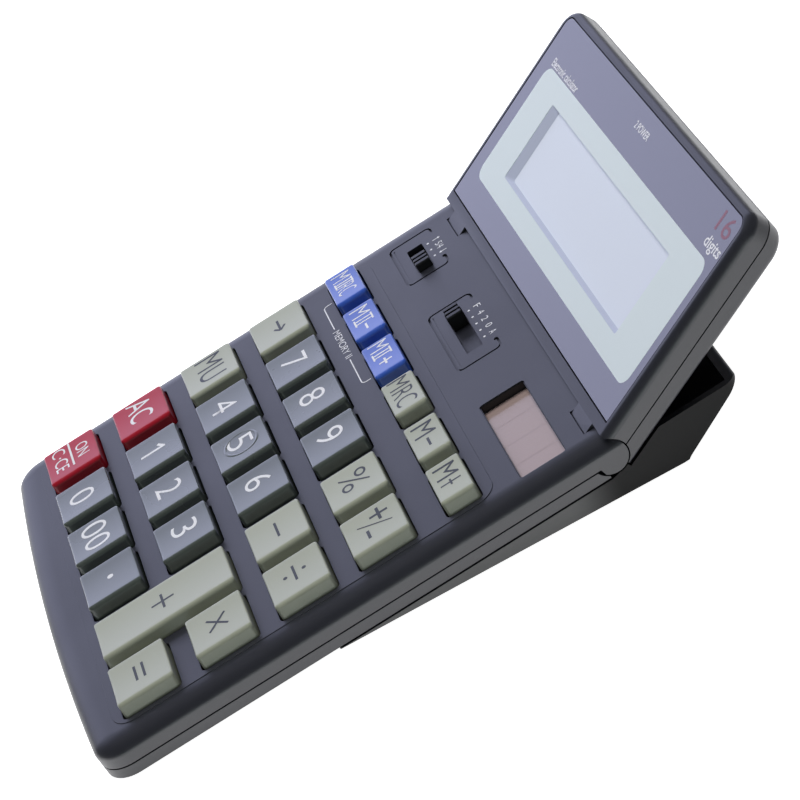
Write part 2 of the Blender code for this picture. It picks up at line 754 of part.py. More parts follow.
panel_side = 3.4 * mm
panel_width = body_width - 2 * panel_side
panel_bottom = 6.4 * mm
panel_top_margin = 2.4 * mm
panel_height = display_height - panel_bottom - panel_top_margin
panel_gap = 0.55 * mm
panel_depth = 1.2 * mm
panel_corner = 3 * mm
panel_thickness = 0.8 * mm
bezel_edge = 2.6 * mm
cover_edge = 1.8 * mm
cover_fall = 0.9 * mm
lip_start = 3.5 * mm
lip_step = 0.9 * mm
display_wall = 1.8 * mm
lcd_side = 22 * mm
lcd_bottom = 18 * mm
lcd_top_margin = 20.9 * mm
lcd_width = body_width - 2 * lcd_side
lcd_height = display_height - lcd_bottom - lcd_top_margin
lcd_thickness = 1.6 * mm
module_thickness = 1 * mm
module_margin = 4 * mm


def display_ring(inset, n, low_s, fall=0):
    """The display's outline at a depth n, with round top corners."""
    half = half_width - inset
    high_s = display_height - inset - fall
    radius = max(display_corner - inset, display_corner * tightest_display_corner_share)
    points = [(-half, low_s, n), (half, low_s, n)]
    for i in range(5):
        angle = i / 4 * 90 * degree
        points.append((half - radius + radius * math.cos(angle),
                       high_s - radius + radius * math.sin(angle), n))
    for i in range(5):
        angle = (1 + i / 4) * 90 * degree
        points.append((-half + radius + radius * math.cos(angle),
                       high_s - radius + radius * math.sin(angle), n))
    return points


def edge_rings(z_seam, z_face, edge, low_s, fall=0, steps=4):
    """Rings from the seam to a face whose rim is rounded, and whose top may fall back on the way."""
    toward = 1 if z_face > z_seam else -1
    rings = [display_ring(0, z_seam, low_s)]
    for i in range(steps + 1):
        angle = 90 * degree * i / steps
        level = z_face - toward * edge * (1 - math.sin(angle))
        way_share = (level - z_seam) / (z_face - z_seam)
        rings.append(display_ring(edge * (1 - math.cos(angle)), level, low_s, fall * way_share))
    return rings


def panel_ring(spread, n):
    """The front panel's outline: square at its foot, round at its top corners."""
    half = panel_width / 2 + spread
    low_s = panel_bottom - spread
    high_s = panel_bottom + panel_height + spread
    radius = panel_corner + spread
    points = [(-half, low_s, n), (half, low_s, n)]
    for quarter, sign in ((0, 1), (1, -1)):
        for i in range(5):
            angle = (quarter + i / 4) * 90 * degree
            points.append((sign * (half - radius) + radius * math.cos(angle),
                           high_s - radius + radius * math.sin(angle), n))
    return points


def display_bezel():
    rings = edge_rings(display_seam + gap / 2, display_front, bezel_edge, -overrun)
    bezel = add_object("display_bezel", loft(rings), display_frame, slate_plastic)
    clear_nose = axle(-body_width, body_width, nose_radius + hinge_gap, 48)
    combine(bezel, add_cutter("bezel_saddle", clear_nose, display_frame), "DIFFERENCE")
    below = boxes([((-body_width, -overrun * 2, -overrun * 2), (body_width, 0, overrun * 2))])
    combine(bezel, add_cutter("bezel_bottom", below, display_frame), "DIFFERENCE")
    lip = boxes([((-body_width, -overrun, display_front - lip_step),
                  (body_width, lip_start, display_front + overrun))])
    combine(bezel, add_cutter("bezel_lip", lip, display_frame), "DIFFERENCE")

    recess = [panel_ring(panel_gap, n) for n in (display_front - panel_depth, display_front + overrun)]
    combine(bezel, add_cutter("panel_seat", loft(recess), display_frame), "DIFFERENCE")
    opening_half = lcd_width / 2 + gap
    window = boxes([((-opening_half, lcd_bottom - gap, display_seam - overrun),
                     (opening_half, lcd_bottom + lcd_height + gap, display_front + overrun))])
    combine(bezel, add_cutter("lcd_opening", window, display_frame), "DIFFERENCE")
    pocket_half = half_width - 2 * display_wall
    pocket_top = display_front - panel_depth - display_wall
    pocket = boxes([((-pocket_half, nose_radius + 2 * display_wall, display_seam - overrun),
                     (pocket_half, display_height - 2 * display_wall, pocket_top))])
    combine(bezel, add_cutter("bezel_pocket", pocket, display_frame), "DIFFERENCE")
    for number, middle in enumerate(knuckle_middles):
        low_x, high_x = middle - knuckle_length / 2, middle + knuckle_length / 2
        barrel = axle(low_x, high_x, nose_radius, 32)
        combine(bezel, add_cutter("barrel_%d" % number, barrel, display_frame), "UNION")
        # The knuckle's face carries on from the bezel's, down to the top of the case
        face = boxes([((low_x, 0, nose_radius / 2), (high_x, lip_start + lip_step, display_front))])
        combine(bezel, add_cutter("knuckle_face_%d" % number, face, display_frame), "UNION")
        web = boxes([((low_x, nose_radius / 2, display_seam + gap / 2),
                      (high_x, nose_radius + display_wall, nose_radius / 2))])
        combine(bezel, add_cutter("barrel_web_%d" % number, web, display_frame), "UNION")
        bore = axle(middle - pin_half - gap, middle + pin_half + gap, pin_radius + gap, 16)
        combine(bezel, add_cutter("barrel_bore_%d" % number, bore, display_frame), "DIFFERENCE")
    return bezel


def display_cover():
    rings = edge_rings(display_seam - gap / 2, display_back, cover_edge, cover_start, cover_fall)
    cover = add_object("display_cover", loft(rings), display_frame, slate_plastic)
    clear_nose = axle(-body_width, body_width, nose_radius + hinge_gap, 48)
    combine(cover, add_cutter("cover_saddle", clear_nose, display_frame), "DIFFERENCE")
    pocket_half = half_width - 2 * display_wall
    pocket = boxes([((-pocket_half, nose_radius + 2 * display_wall, display_back + display_wall),
                     (pocket_half, display_height - 2 * display_wall, overrun))])
    combine(cover, add_cutter("cover_pocket", pocket, display_frame), "DIFFERENCE")
    return cover


def display_pieces():
    low_n = display_front - panel_depth + gap
    seat = [panel_ring(0, n) for n in (low_n, low_n + panel_thickness)]
    add_object("display_panel", loft(seat), display_frame, clear_window)
    lcd_top = display_front - panel_depth
    add_object("lcd", boxes([((-lcd_width / 2, lcd_bottom, lcd_top - lcd_thickness),
                              (lcd_width / 2, lcd_bottom + lcd_height, lcd_top))]), display_frame, glass)
    board_top = lcd_top - lcd_thickness - gap
    half_x = lcd_width / 2 + module_margin
    board = boxes([((-half_x, lcd_bottom - module_margin, board_top - module_thickness),
                    (half_x, lcd_bottom + lcd_height + module_margin, board_top))])
    add_object("display_board", board, display_frame, green_board)
    for side, middle in zip(("left", "right"), knuckle_middles):
        pin = axle(middle - pin_half, middle + pin_half, pin_radius, 16)
        add_object("hinge_pin_%s" % side, pin, body_frame, steel, (0, hinge_y, hinge_z))


# Battery, its contacts and its hinged door, all parallel to the sloping underside

contact_thickness = 0.5 * mm
contact_width = 6 * mm


def battery_pieces():
    x, y = battery_place
    place = (x, y, wedge_z(y))
    cell_low = door_thickness + gap
    edge = 0.3 * mm
    rings = []
    for radius, z in ((battery_radius - edge, cell_low), (battery_radius, cell_low + edge),
                      (battery_radius, cell_low + battery_height - edge),
                      (battery_radius - edge, cell_low + battery_height)):
        rings.append(circle_ring(radius, z))
    add_object("coin_cell", loft(rings), body_frame, steel, place, -wedge_angle)

    side_low = battery_radius + gap
    positive = boxes([((side_low, -contact_width / 2, cell_low + gap),
                       (side_low + contact_thickness, contact_width / 2, cell_low + battery_height - gap))])
    add_object("contact_positive", positive, body_frame, steel, place, -wedge_angle)
    negative = boxes([((-contact_width / 2, 0, -gap - contact_thickness),
                       (contact_width / 2, contact_width, -gap))])
    add_object("contact_negative", negative, body_frame, steel, (x, y, 0))

    # The door's front edge is round, and its pivot runs along the middle of that edge
    half = door_thickness / 2
    profile = arc(0, 0, half, 90, 270, 8) + [(door_depth - half, -half), (door_depth - half, half)]
    pivot_y = -door_depth / 2 + half
    door_y = y + pivot_y * math.cos(wedge_angle) + half * math.sin(wedge_angle)
    door_z = wedge_z(y) - pivot_y * math.sin(wedge_angle) + half * math.cos(wedge_angle)
    plate = across(profile, -door_width / 2, door_width / 2)
    door = add_object("battery_door", plate, body_frame, black_plastic, (x, door_y, door_z), -wedge_angle)
    return door


# Screws up through the stand and the lower case into the bosses of the upper case

def case_screw(side_sign):
    side = "left" if side_sign < 0 else "right"
    head_low = wedge_z(case_screw_y) + screw_recess
    shaft = screw_radius
    rings = []
    for radius, z in ((screw_head_radius, head_low), (screw_head_radius, head_low + screw_head_height),
                      (shaft, head_low + screw_head_height), (shaft, screw_top)):
        rings.append(circle_ring(radius, z, 16))
    screw = add_object("case_screw_%s" % side, loft(rings), body_frame, steel,
                       (side_sign * case_screw_x, case_screw_y, 0))
    bars = []
    for long_x, long_y in ((cross_length, cross_width), (cross_width, cross_length)):
        bars.append(((-long_x / 2, -long_y / 2, head_low - gap),
                     (long_x / 2, long_y / 2, head_low + cross_depth)))
    for number, bar in enumerate(bars):
        slot = add_cutter("cross_%s_%d" % (side, number), boxes([bar]), body_frame, screw.location)
        combine(screw, slot, "DIFFERENCE")


upper_case()
lower_case()
stand()
for screw_side in (-1, 1):
    case_screw(screw_side)
for foot_end in ("front", "rear"):
    for foot_side in (-1, 1):
        foot(foot_end, foot_side)
for entry in key_list:
    cap_object = key_cap(*entry)
    if entry[0] == "key_5":
        tactile_ring(cap_object)
circuit_board()
key_mat()
switch_knob("rounding_switch", (rounding_first, rounding_last), rounding_slot, rounding_last)
switch_knob("decimal_switch", (decimal_first, decimal_last), decimal_slot, decimal_first)
solar_pieces()
display_bezel()
display_cover()
display_pieces()
battery_pieces()


# Stand the whole calculator on its feet, centred on the origin

def stand_on_origin():
    bpy.context.view_layer.update()
    graph = bpy.context.evaluated_depsgraph_get()
    corners = []
    for item in bpy.context.scene.objects:
        if item.type == "MESH" and not item.hide_render:
            solid = item.evaluated_get(graph)
            corners += [item.matrix_world @ vertex.co for vertex in solid.data.vertices]
    low = [min(corner[axis] for corner in corners) for axis in range(3)]
    high = [max(corner[axis] for corner in corners) for axis in range(3)]
    body_frame.location = (-(low[0] + high[0]) / 2, -(low[1] + high[1]) / 2, -low[2])
    bpy.context.view_layer.update()


stand_on_origin()
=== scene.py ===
import math

import bpy
from mathutils import Matrix, Vector


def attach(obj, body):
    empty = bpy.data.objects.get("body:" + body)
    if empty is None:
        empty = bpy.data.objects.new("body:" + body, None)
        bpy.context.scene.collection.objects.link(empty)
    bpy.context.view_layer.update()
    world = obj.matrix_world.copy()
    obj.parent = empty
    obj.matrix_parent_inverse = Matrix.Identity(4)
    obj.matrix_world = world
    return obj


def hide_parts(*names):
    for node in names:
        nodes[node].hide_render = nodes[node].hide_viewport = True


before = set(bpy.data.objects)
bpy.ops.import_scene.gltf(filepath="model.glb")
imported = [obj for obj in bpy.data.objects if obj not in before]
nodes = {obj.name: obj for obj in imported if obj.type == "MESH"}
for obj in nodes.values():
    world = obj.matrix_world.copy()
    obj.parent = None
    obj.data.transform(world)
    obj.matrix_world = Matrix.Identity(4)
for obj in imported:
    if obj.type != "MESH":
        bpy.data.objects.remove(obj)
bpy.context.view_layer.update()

mm = 0.001
hair = 0.01 * mm  # places closer than this count as one
pastSide = 80 * mm  # where a cutter ends beside the calculator
pastTop = 20 * mm  # and over or under it
pastEdge = 5 * mm  # how far a cutter of the case starts before or under it
underTop = 5 * mm  # where a cut through the top of the case starts
# sides of a whole circle, and steps of a rounded corner
roundSides = {"saddle": 128, "hinge": 96, "usual": 64, "small": 48, "bore": 32, "fine": 24, "wire": 12}
cornerSteps = {"large": 12, "wide": 10, "medium": 8, "usual": 6, "small": 5, "edge": 4}

# The body leans back on its feet, and the display leans back on its hinge
stance = {"lean": 2.6229147, "shift": (0, -0.1006157, 0.000657964)}
displayStance = {"angle": 27.0, "hinge": (0, 143 * mm, 5.1 * mm)}

bodyFrame = Matrix.Translation(stance["shift"]) @ Matrix.Rotation(math.radians(stance["lean"]), 4, "X")
displayFrame = (bodyFrame @ Matrix.Translation(displayStance["hinge"])
                @ Matrix.Rotation(math.radians(displayStance["angle"]), 4, "X"))


# Modelling helpers

def deselectAll():
    for item in bpy.context.selected_objects:
        item.select_set(False)


def activate(piece):
    deselectAll()
    piece.select_set(True)
    bpy.context.view_layer.objects.active = piece


def applyPlace():
    bpy.ops.object.transform_apply(location=True, rotation=True, scale=True)


def carry(piece, where):
    # moves a piece and keeps its object at the origin
    activate(piece)
    piece.matrix_world = where @ piece.matrix_world
    applyPlace()
    return piece


def block(name, low, high):
    deselectAll()
    middle = [(a + b) / 2 for a, b in zip(low, high)]
    size = [b - a for a, b in zip(low, high)]
    bpy.ops.mesh.primitive_cube_add(size=1, location=middle, scale=size)
    piece = bpy.context.active_object
    piece.name = name
    applyPlace()
    return piece


def rod(name, radius, start, end, sides=roundSides["usual"]):
    # a cylinder between two points
    deselectAll()
    run = Vector(end) - Vector(start)
    turn = run.to_track_quat("Z", "Y").to_euler()
    bpy.ops.mesh.primitive_cylinder_add(vertices=sides, radius=radius, depth=run.length,
                                        location=(Vector(start) + Vector(end)) / 2, rotation=turn)
    piece = bpy.context.active_object
    piece.name = name
    applyPlace()
    return piece


def drawOutline(name, points):
    # a single face drawn point by point
    deselectAll()
    bpy.ops.mesh.primitive_plane_add(size=mm, location=points[0])
    piece = bpy.context.active_object
    piece.name = name
    bpy.ops.object.mode_set(mode="EDIT")
    bpy.ops.mesh.select_mode(type="VERT")
    bpy.ops.mesh.select_all(action="SELECT")
    bpy.ops.mesh.merge(type="CENTER")
    for here, there in zip(points, points[1:]):
        step = Vector(there) - Vector(here)
        bpy.ops.mesh.extrude_region_move(TRANSFORM_OT_translate={"value": step})
    bpy.ops.mesh.select_all(action="SELECT")
    bpy.ops.mesh.edge_face_add()
    bpy.ops.object.mode_set(mode="OBJECT")
    applyPlace()
    return piece


def thicken(piece, run):
    # pull a drawn face into a solid
    activate(piece)
    bpy.ops.object.mode_set(mode="EDIT")
    bpy.ops.mesh.select_all(action="SELECT")
    bpy.ops.mesh.extrude_region_move(TRANSFORM_OT_translate={"value": run})
    bpy.ops.mesh.select_all(action="SELECT")
    bpy.ops.mesh.normals_make_consistent(inside=False)
    bpy.ops.object.mode_set(mode="OBJECT")
    return piece


def profileBlock(name, profile, xLow, xHigh):
    piece = drawOutline(name, [(xLow, y, z) for y, z in profile])
    return thicken(piece, (xHigh - xLow, 0, 0))


def pickFaces(piece, test):
    activate(piece)
    bpy.ops.object.mode_set(mode="EDIT")
    bpy.ops.mesh.select_mode(type="FACE")
    bpy.ops.mesh.select_all(action="DESELECT")
    bpy.ops.object.mode_set(mode="OBJECT")
    for face in piece.data.polygons:
        face.select = test(face.center, face.normal)
    bpy.ops.object.mode_set(mode="EDIT")


def pickEdges(piece, test):
    activate(piece)
    bpy.ops.object.mode_set(mode="EDIT")
    bpy.ops.mesh.select_mode(type="EDGE")
    bpy.ops.mesh.select_all(action="DESELECT")
    bpy.ops.object.mode_set(mode="OBJECT")
    points = piece.data.vertices
    for edge in piece.data.edges:
        a, b = (points[i].co for i in edge.vertices)
        edge.select = test(a, b)
    bpy.ops.object.mode_set(mode="EDIT")


def bevelPicked(width, segments):
    bpy.ops.mesh.bevel(offset=width, segments=segments, affect="EDGES", clamp_overlap=True)
    bpy.ops.object.mode_set(mode="OBJECT")


def boolean(piece, cutter, operation="DIFFERENCE"):
    change = piece.modifiers.new(operation.lower(), "BOOLEAN")
    change.operation = operation
    change.object = cutter
    change.solver = "EXACT"
    activate(piece)
    bpy.ops.object.modifier_apply(modifier=change.name)
    bpy.data.objects.remove(cutter)
    return piece


def soften(piece, width, segments=2, angle=50):
    rounding = piece.modifiers.new("soften", "BEVEL")
    rounding.width = width
    rounding.segments = segments
    rounding.limit_method = "ANGLE"
    rounding.angle_limit = math.radians(angle)
    rounding.harden_normals = False
    activate(piece)
    bpy.ops.object.modifier_apply(modifier=rounding.name)
    return piece


def joinPieces(pieces, name):
    deselectAll()
    for piece in pieces:
        piece.select_set(True)
    bpy.context.view_layer.objects.active = pieces[0]
    bpy.ops.object.join()
    pieces[0].name = name
    return pieces[0]


def settle(piece, where, body, material, replaced=(), smooth=35):
    # put a finished piece where it belongs and hang it on its body
    carry(piece, where)
    if smooth:
        bpy.ops.object.shade_smooth_by_angle(angle=math.radians(smooth))
        even = piece.modifiers.new("even", "WEIGHTED_NORMAL")
        even.keep_sharp = True
        bpy.ops.object.modifier_apply(modifier=even.name)
    piece.data.materials.clear()
    piece.data.materials.append(material)
    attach(piece, body)
    if replaced:
        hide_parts(*replaced)
    return piece


def arcPoints(centreY, centreZ, radius, start, end, steps):
    # (y, z) points round a centre, in degrees from the rear upwards
    points = []
    for i in range(steps + 1):
        angle = math.radians(start + (end - start) * i / steps)
        points.append((centreY + radius * math.cos(angle), centreZ + radius * math.sin(angle)))
    return points


# Shared effects for the materials

def newGroup(name, inputs, outputs):
    group = bpy.data.node_groups.new(name, "ShaderNodeTree")
    for label, kind, value in inputs:
        socket = group.interface.new_socket(name=label, in_out="INPUT", socket_type=kind)
        socket.default_value = value
    for label, kind in outputs:
        group.interface.new_socket(name=label, in_out="OUTPUT", socket_type=kind)
    start = group.nodes.new("NodeGroupInput")
    end = group.nodes.new("NodeGroupOutput")
    start.location = (-900, 0)
    end.location = (900, 0)
    return group, start, end


def place(tree, kind, x, y, **settings):
    node = tree.nodes.new(kind)
    node.location = (x, y)
    for key, value in settings.items():
        setattr(node, key, value)
    return node


def mathNode(tree, operation, x, y, first=None, second=None):
    node = place(tree, "ShaderNodeMath", x, y, operation=operation)
    for index, value in enumerate((first, second)):
        if value is None:
            continue
        if isinstance(value, (int, float)):
            node.inputs[index].default_value = value
        else:
            tree.links.new(value, node.inputs[index])
    return node.outputs[0]


def buildMouldedGrain():
    # fine texture of a moulded surface, with faint cloudy changes in tone and gloss
    group, start, end = newGroup(
        "mouldedGrain",
        [("Colour", "NodeSocketColor", (0.1, 0.1, 0.1, 1)), ("Grain Size", "NodeSocketFloat", 0.25),
         ("Tone", "NodeSocketFloat", 0.06), ("Gloss", "NodeSocketFloat", 0.4),
         ("Gloss Change", "NodeSocketFloat", 0.08)],
        [("Colour", "NodeSocketColor"), ("Roughness", "NodeSocketFloat"), ("Height", "NodeSocketFloat")])
    coords = place(group, "ShaderNodeTexCoord", -900, -300)
    density = mathNode(group, "DIVIDE", -700, -150, 1000.0, start.outputs["Grain Size"])
    grain = place(group, "ShaderNodeTexNoise", -500, -150)
    grain.inputs["Detail"].default_value = 3
    grain.inputs["Roughness"].default_value = 0.6
    group.links.new(coords.outputs["Object"], grain.inputs["Vector"])
    group.links.new(density, grain.inputs["Scale"])
    cloud = place(group, "ShaderNodeTexNoise", -500, -400)
    cloud.inputs["Scale"].default_value = 38
    cloud.inputs["Detail"].default_value = 4
    group.links.new(coords.outputs["Object"], cloud.inputs["Vector"])
    cloudSwing = mathNode(group, "SUBTRACT", -300, -400, cloud.outputs["Fac"], 0.5)
    grainSwing = mathNode(group, "SUBTRACT", -300, -150, grain.outputs["Fac"], 0.5)
    swing = mathNode(group, "ADD", -120, -260, cloudSwing, grainSwing)
    tone = mathNode(group, "MULTIPLY", 60, -260, swing, start.outputs["Tone"])
    bright = mathNode(group, "ADD", 220, -260, tone, 1.0)
    tint = place(group, "ShaderNodeVectorMath", 420, 60, operation="SCALE")
    group.links.new(start.outputs["Colour"], tint.inputs[0])
    group.links.new(bright, tint.inputs["Scale"])
    glossSwing = mathNode(group, "MULTIPLY", 60, -480, cloudSwing, start.outputs["Gloss Change"])
    gloss = mathNode(group, "ADD", 420, -420, glossSwing, start.outputs["Gloss"])
    group.links.new(tint.outputs[0], end.inputs["Colour"])
    group.links.new(gloss, end.inputs["Roughness"])
    group.links.new(grain.outputs["Fac"], end.inputs["Height"])
    return group


mouldedGrain = buildMouldedGrain()


def plastic(name, colour, gloss, grainSize=0.3, grainHeight=0.02, tone=0.1, glossChange=0.1, coat=0.0,
            coatGloss=0.1, specular=0.5):
    material = bpy.data.materials.new(name)
    material.use_nodes = True
    tree = material.node_tree
    shader = tree.nodes["Principled BSDF"]
    grain = place(tree, "ShaderNodeGroup", -400, 0, node_tree=mouldedGrain)
    grain.inputs["Colour"].default_value = (*colour, 1)
    grain.inputs["Grain Size"].default_value = grainSize
    grain.inputs["Tone"].default_value = tone
    grain.inputs["Gloss"].default_value = gloss
    grain.inputs["Gloss Change"].default_value = glossChange
    bump = place(tree, "ShaderNodeBump", -180, -250)
    bump.inputs["Strength"].default_value = 1.0
    bump.inputs["Distance"].default_value = grainHeight * mm
    tree.links.new(grain.outputs["Colour"], shader.inputs["Base Color"])
    tree.links.new(grain.outputs["Roughness"], shader.inputs["Roughness"])
    tree.links.new(grain.outputs["Height"], bump.inputs["Height"])
    tree.links.new(bump.outputs["Normal"], shader.inputs["Normal"])
    shader.inputs["Coat Weight"].default_value = coat
    shader.inputs["Coat Roughness"].default_value = coatGloss
    shader.inputs["Specular IOR Level"].default_value = specular
    return material


smoothPaint = {"grainHeight": 0.001, "tone": 0.03}
slateCase = plastic("slateCase", (0.024, 0.025, 0.034), gloss=0.40, grainSize=0.22, grainHeight=0.010, specular=0.9)
blackStand = plastic("blackStand", (0.012, 0.012, 0.013), gloss=0.5, grainSize=0.25, specular=0.4)
standPlastic = plastic("standPlastic", (0.030, 0.032, 0.034), gloss=0.42, grainSize=0.25, grainHeight=0.012,
                       specular=0.9)
slateKey = plastic("slateKey", (0.084, 0.100, 0.088), gloss=0.28, grainHeight=0.004, coat=0.85, coatGloss=0.2)
ivoryKey = plastic("ivoryKey", (0.41, 0.43, 0.335), gloss=0.34, grainHeight=0.004, coat=0.3, coatGloss=0.25)
redKey = plastic("redKey", (0.44, 0.010, 0.026), gloss=0.32, grainHeight=0.004, specular=0.45)
blueKey = plastic("blueKey", (0.036, 0.115, 0.56), gloss=0.30, grainHeight=0.004, coat=0.7, coatGloss=0.25,
                   specular=0.6)
blackKnob = plastic("blackKnob", (0.008, 0.008, 0.009), gloss=0.34, grainHeight=0.006)
soleRubber = plastic("soleRubber", (0.022, 0.022, 0.022), gloss=0.8, grainSize=0.4, grainHeight=0.05)
steelPart = plastic("steelPart", (0.58, 0.58, 0.60), gloss=0.3, grainSize=0.5, grainHeight=0.004)
steelPart.node_tree.nodes["Principled BSDF"].inputs["Metallic"].default_value = 1.0
boardLacquer = plastic("boardLacquer", (0.02, 0.12, 0.05), gloss=0.35, grainSize=0.6, grainHeight=0.01)
panelPaint = plastic("panelPaint", (0.115, 0.115, 0.165), gloss=0.22, grainSize=0.5, grainHeight=0.001, tone=0.04,
                     glossChange=0.03, coat=0.5, coatGloss=0.12)
silverPaint = plastic("silverPaint", (0.72, 0.80, 0.82), gloss=0.45, grainSize=0.2, specular=0.25, **smoothPaint)
whitePrint = plastic("whitePrint", (0.85, 0.85, 0.87), gloss=0.45, **smoothPaint)
greyPrint = plastic("greyPrint", (0.055, 0.06, 0.075), gloss=0.45, **smoothPaint)
redPrint = plastic("redPrint", (0.24, 0.075, 0.11), gloss=0.35, **smoothPaint)
wallPaint = plastic("wallPaint", (0.56, 0.60, 0.75), gloss=0.5, specular=0.25, **smoothPaint)
displayGlass = plastic("displayGlass", (0.73, 0.78, 0.87), gloss=0.35, grainSize=0.5, specular=0.25, **smoothPaint)
solarCell = plastic("solarCell", (0.38, 0.285, 0.265), gloss=0.25, grainSize=0.5, grainHeight=0.002, coat=0.3,
                    coatGloss=0.05)
cellLine = plastic("cellLine", (0.29, 0.215, 0.205), gloss=0.3, grainSize=0.5, **smoothPaint)


def paintShadeToRear(material, nearY, farY, paintedShadeColour, farSpecular):
    # painted shade: towards the tray the plastic's colour darkens to near black and its specular level drops, standing
    # in for the shade that side lies in
    tree = material.node_tree
    grain = [node for node in tree.nodes if node.type == "GROUP"][0]
    where = place(tree, "ShaderNodeTexCoord", -1100, 0)
    split = place(tree, "ShaderNodeSeparateXYZ", -920, 0)
    tree.links.new(where.outputs["Object"], split.inputs[0])
    ramp = place(tree, "ShaderNodeMapRange", -760, 0)
    ramp.interpolation_type = "SMOOTHSTEP"
    ramp.inputs["From Min"].default_value = nearY
    ramp.inputs["From Max"].default_value = farY
    tree.links.new(split.outputs["Y"], ramp.inputs["Value"])
    blend = place(tree, "ShaderNodeMix", -580, 0)
    blend.data_type = "RGBA"
    blend.inputs["A"].default_value = grain.inputs["Colour"].default_value
    blend.inputs["B"].default_value = (*paintedShadeColour, 1)
    tree.links.new(ramp.outputs["Result"], blend.inputs["Factor"])
    tree.links.new(blend.outputs["Result"], grain.inputs["Colour"])
    shader = tree.nodes["Principled BSDF"]
    dull = place(tree, "ShaderNodeMapRange", -580, -260)
    dull.inputs["To Min"].default_value = shader.inputs["Specular IOR Level"].default_value
    dull.inputs["To Max"].default_value = farSpecular
    tree.links.new(ramp.outputs["Result"], dull.inputs["Value"])
    tree.links.new(dull.outputs["Result"], shader.inputs["Specular IOR Level"])


# painted shade on the stand: the same plastic, drawn darker and duller from nearY to farY towards the rear
standPaintedShade = {"nearY": 27 * mm, "farY": 42 * mm, "paintedShadeColour": (0.006, 0.006, 0.0065), "farSpecular": 0.2}
paintShadeToRear(standPlastic, **standPaintedShade)
print("materials ready")


# Camera at the photograph's place

cameraPlace = {"location": (0.6833, 0.0184268, 0.4045288),
               "turn": (56.295597, 26.010055, 74.81734),
               "lens": 139.688, "sensor": 36.0}

cameraData = bpy.data.cameras.new("photoCamera")
cameraData.lens = cameraPlace["lens"]
cameraData.sensor_width = cameraPlace["sensor"]
cameraData.sensor_fit = "HORIZONTAL"
cameraData.clip_start = 0.01
photoCamera = bpy.data.objects.new("photoCamera", cameraData)
bpy.context.scene.collection.objects.link(photoCamera)
photoCamera.location = cameraPlace["location"]
photoCamera.rotation_euler = [math.radians(a) for a in cameraPlace["turn"]]
bpy.context.scene.camera = photoCamera


# Floor and light

studio = {"floorSize": 6.0, "floorWhite": 1.0, "floorColour": (0.86, 0.86, 0.86), "roomLight": 0.10,
          "roomTint": (0.92, 0.95, 1.0)}
softBoxes = {
    "farSoftBox": {"direction": (-0.90, -0.10, 0.32), "distance": 1.6, "width": 1.9, "height": 1.1, "radiance": 1.29,
                   "tint": (0.84, 0.88, 1.25), "mirrored": True},
    "topFill": {"direction": (-0.35, 0.0, 1.0), "distance": 1.5, "width": 0.9, "height": 0.9, "radiance": 6.5,
                "tint": (1.0, 1.0, 0.99), "mirrored": False},
    "sideStrip": {"direction": (0.95, -0.15, 0.12), "distance": 1.5, "width": 2.0, "height": 0.30, "radiance": 1.15,
                  "tint": (0.90, 1.05, 1.0), "mirrored": True},
}

bpy.ops.mesh.primitive_plane_add(size=studio["floorSize"], location=(0, 0, 0))
floor = bpy.context.active_object
floor.name = "floor"
floorPaint = bpy.data.materials.new("floorPaint")
floorPaint.use_nodes = True
floorTree = floorPaint.node_tree
floorShader = floorTree.nodes["Principled BSDF"]
floorShader.inputs["Base Color"].default_value = (*studio["floorColour"], 1)
floorShader.inputs["Roughness"].default_value = 0.9
floorShader.inputs["Specular IOR Level"].default_value = 0.0
# seen straight or in a reflection, the lit floor reads as white paper that still takes the shadow
floorRays = place(floorTree, "ShaderNodeLightPath", -700, -300)
seenOrMirrored = mathNode(floorTree, "MAXIMUM", -500, -300, floorRays.outputs["Is Camera Ray"],
                          floorRays.outputs["Is Glossy Ray"])
floorShader.inputs["Emission Color"].default_value = (studio["floorWhite"],) * 3 + (1,)
floorTree.links.new(seenOrMirrored, floorShader.inputs["Emission Strength"])
floor.data.materials.append(floorPaint)

world = bpy.data.worlds.new("studioWorld")
bpy.context.scene.world = world
world.use_nodes = True
worldTree = world.node_tree
room = worldTree.nodes["Background"]
room.inputs["Color"].default_value = (*studio["roomTint"], 1)
room.inputs["Strength"].default_value = studio["roomLight"]
backdrop = place(worldTree, "ShaderNodeBackground", 0, -200)
backdrop.inputs["Color"].default_value = (1, 1, 1, 1)
backdrop.inputs["Strength"].default_value = 1.0
rays = place(worldTree, "ShaderNodeLightPath", -400, 200)
chooser = place(worldTree, "ShaderNodeMixShader", 250, 0)
worldTree.links.new(rays.outputs["Is Camera Ray"], chooser.inputs["Fac"])
worldTree.links.new(room.outputs[0], chooser.inputs[1])
worldTree.links.new(backdrop.outputs[0], chooser.inputs[2])
worldTree.links.new(chooser.outputs[0], worldTree.nodes["World Output"].inputs["Surface"])


def softBox(name, direction, distance, width, height, radiance, tint, mirrored):
    # a large even lamp that looks at the calculator from a direction
    data = bpy.data.lights.new(name, "AREA")
    data.shape = "RECTANGLE"
    data.size = width
    data.size_y = height
    data.energy = radiance * math.pi * width * height
    data.color = tint
    lamp = bpy.data.objects.new(name, data)
    bpy.context.scene.collection.objects.link(lamp)
    along = Vector(direction).normalized()
    lamp.location = along * distance
    lamp.rotation_euler = along.to_track_quat("Z", "Y").to_euler()
    lamp.visible_camera = False
    lamp.visible_glossy = mirrored
    return lamp


for name, facts in softBoxes.items():
    softBox(name, **facts)
bpy.context.scene.view_settings.view_transform = "Standard"
print("camera, floor and light ready")


# Case

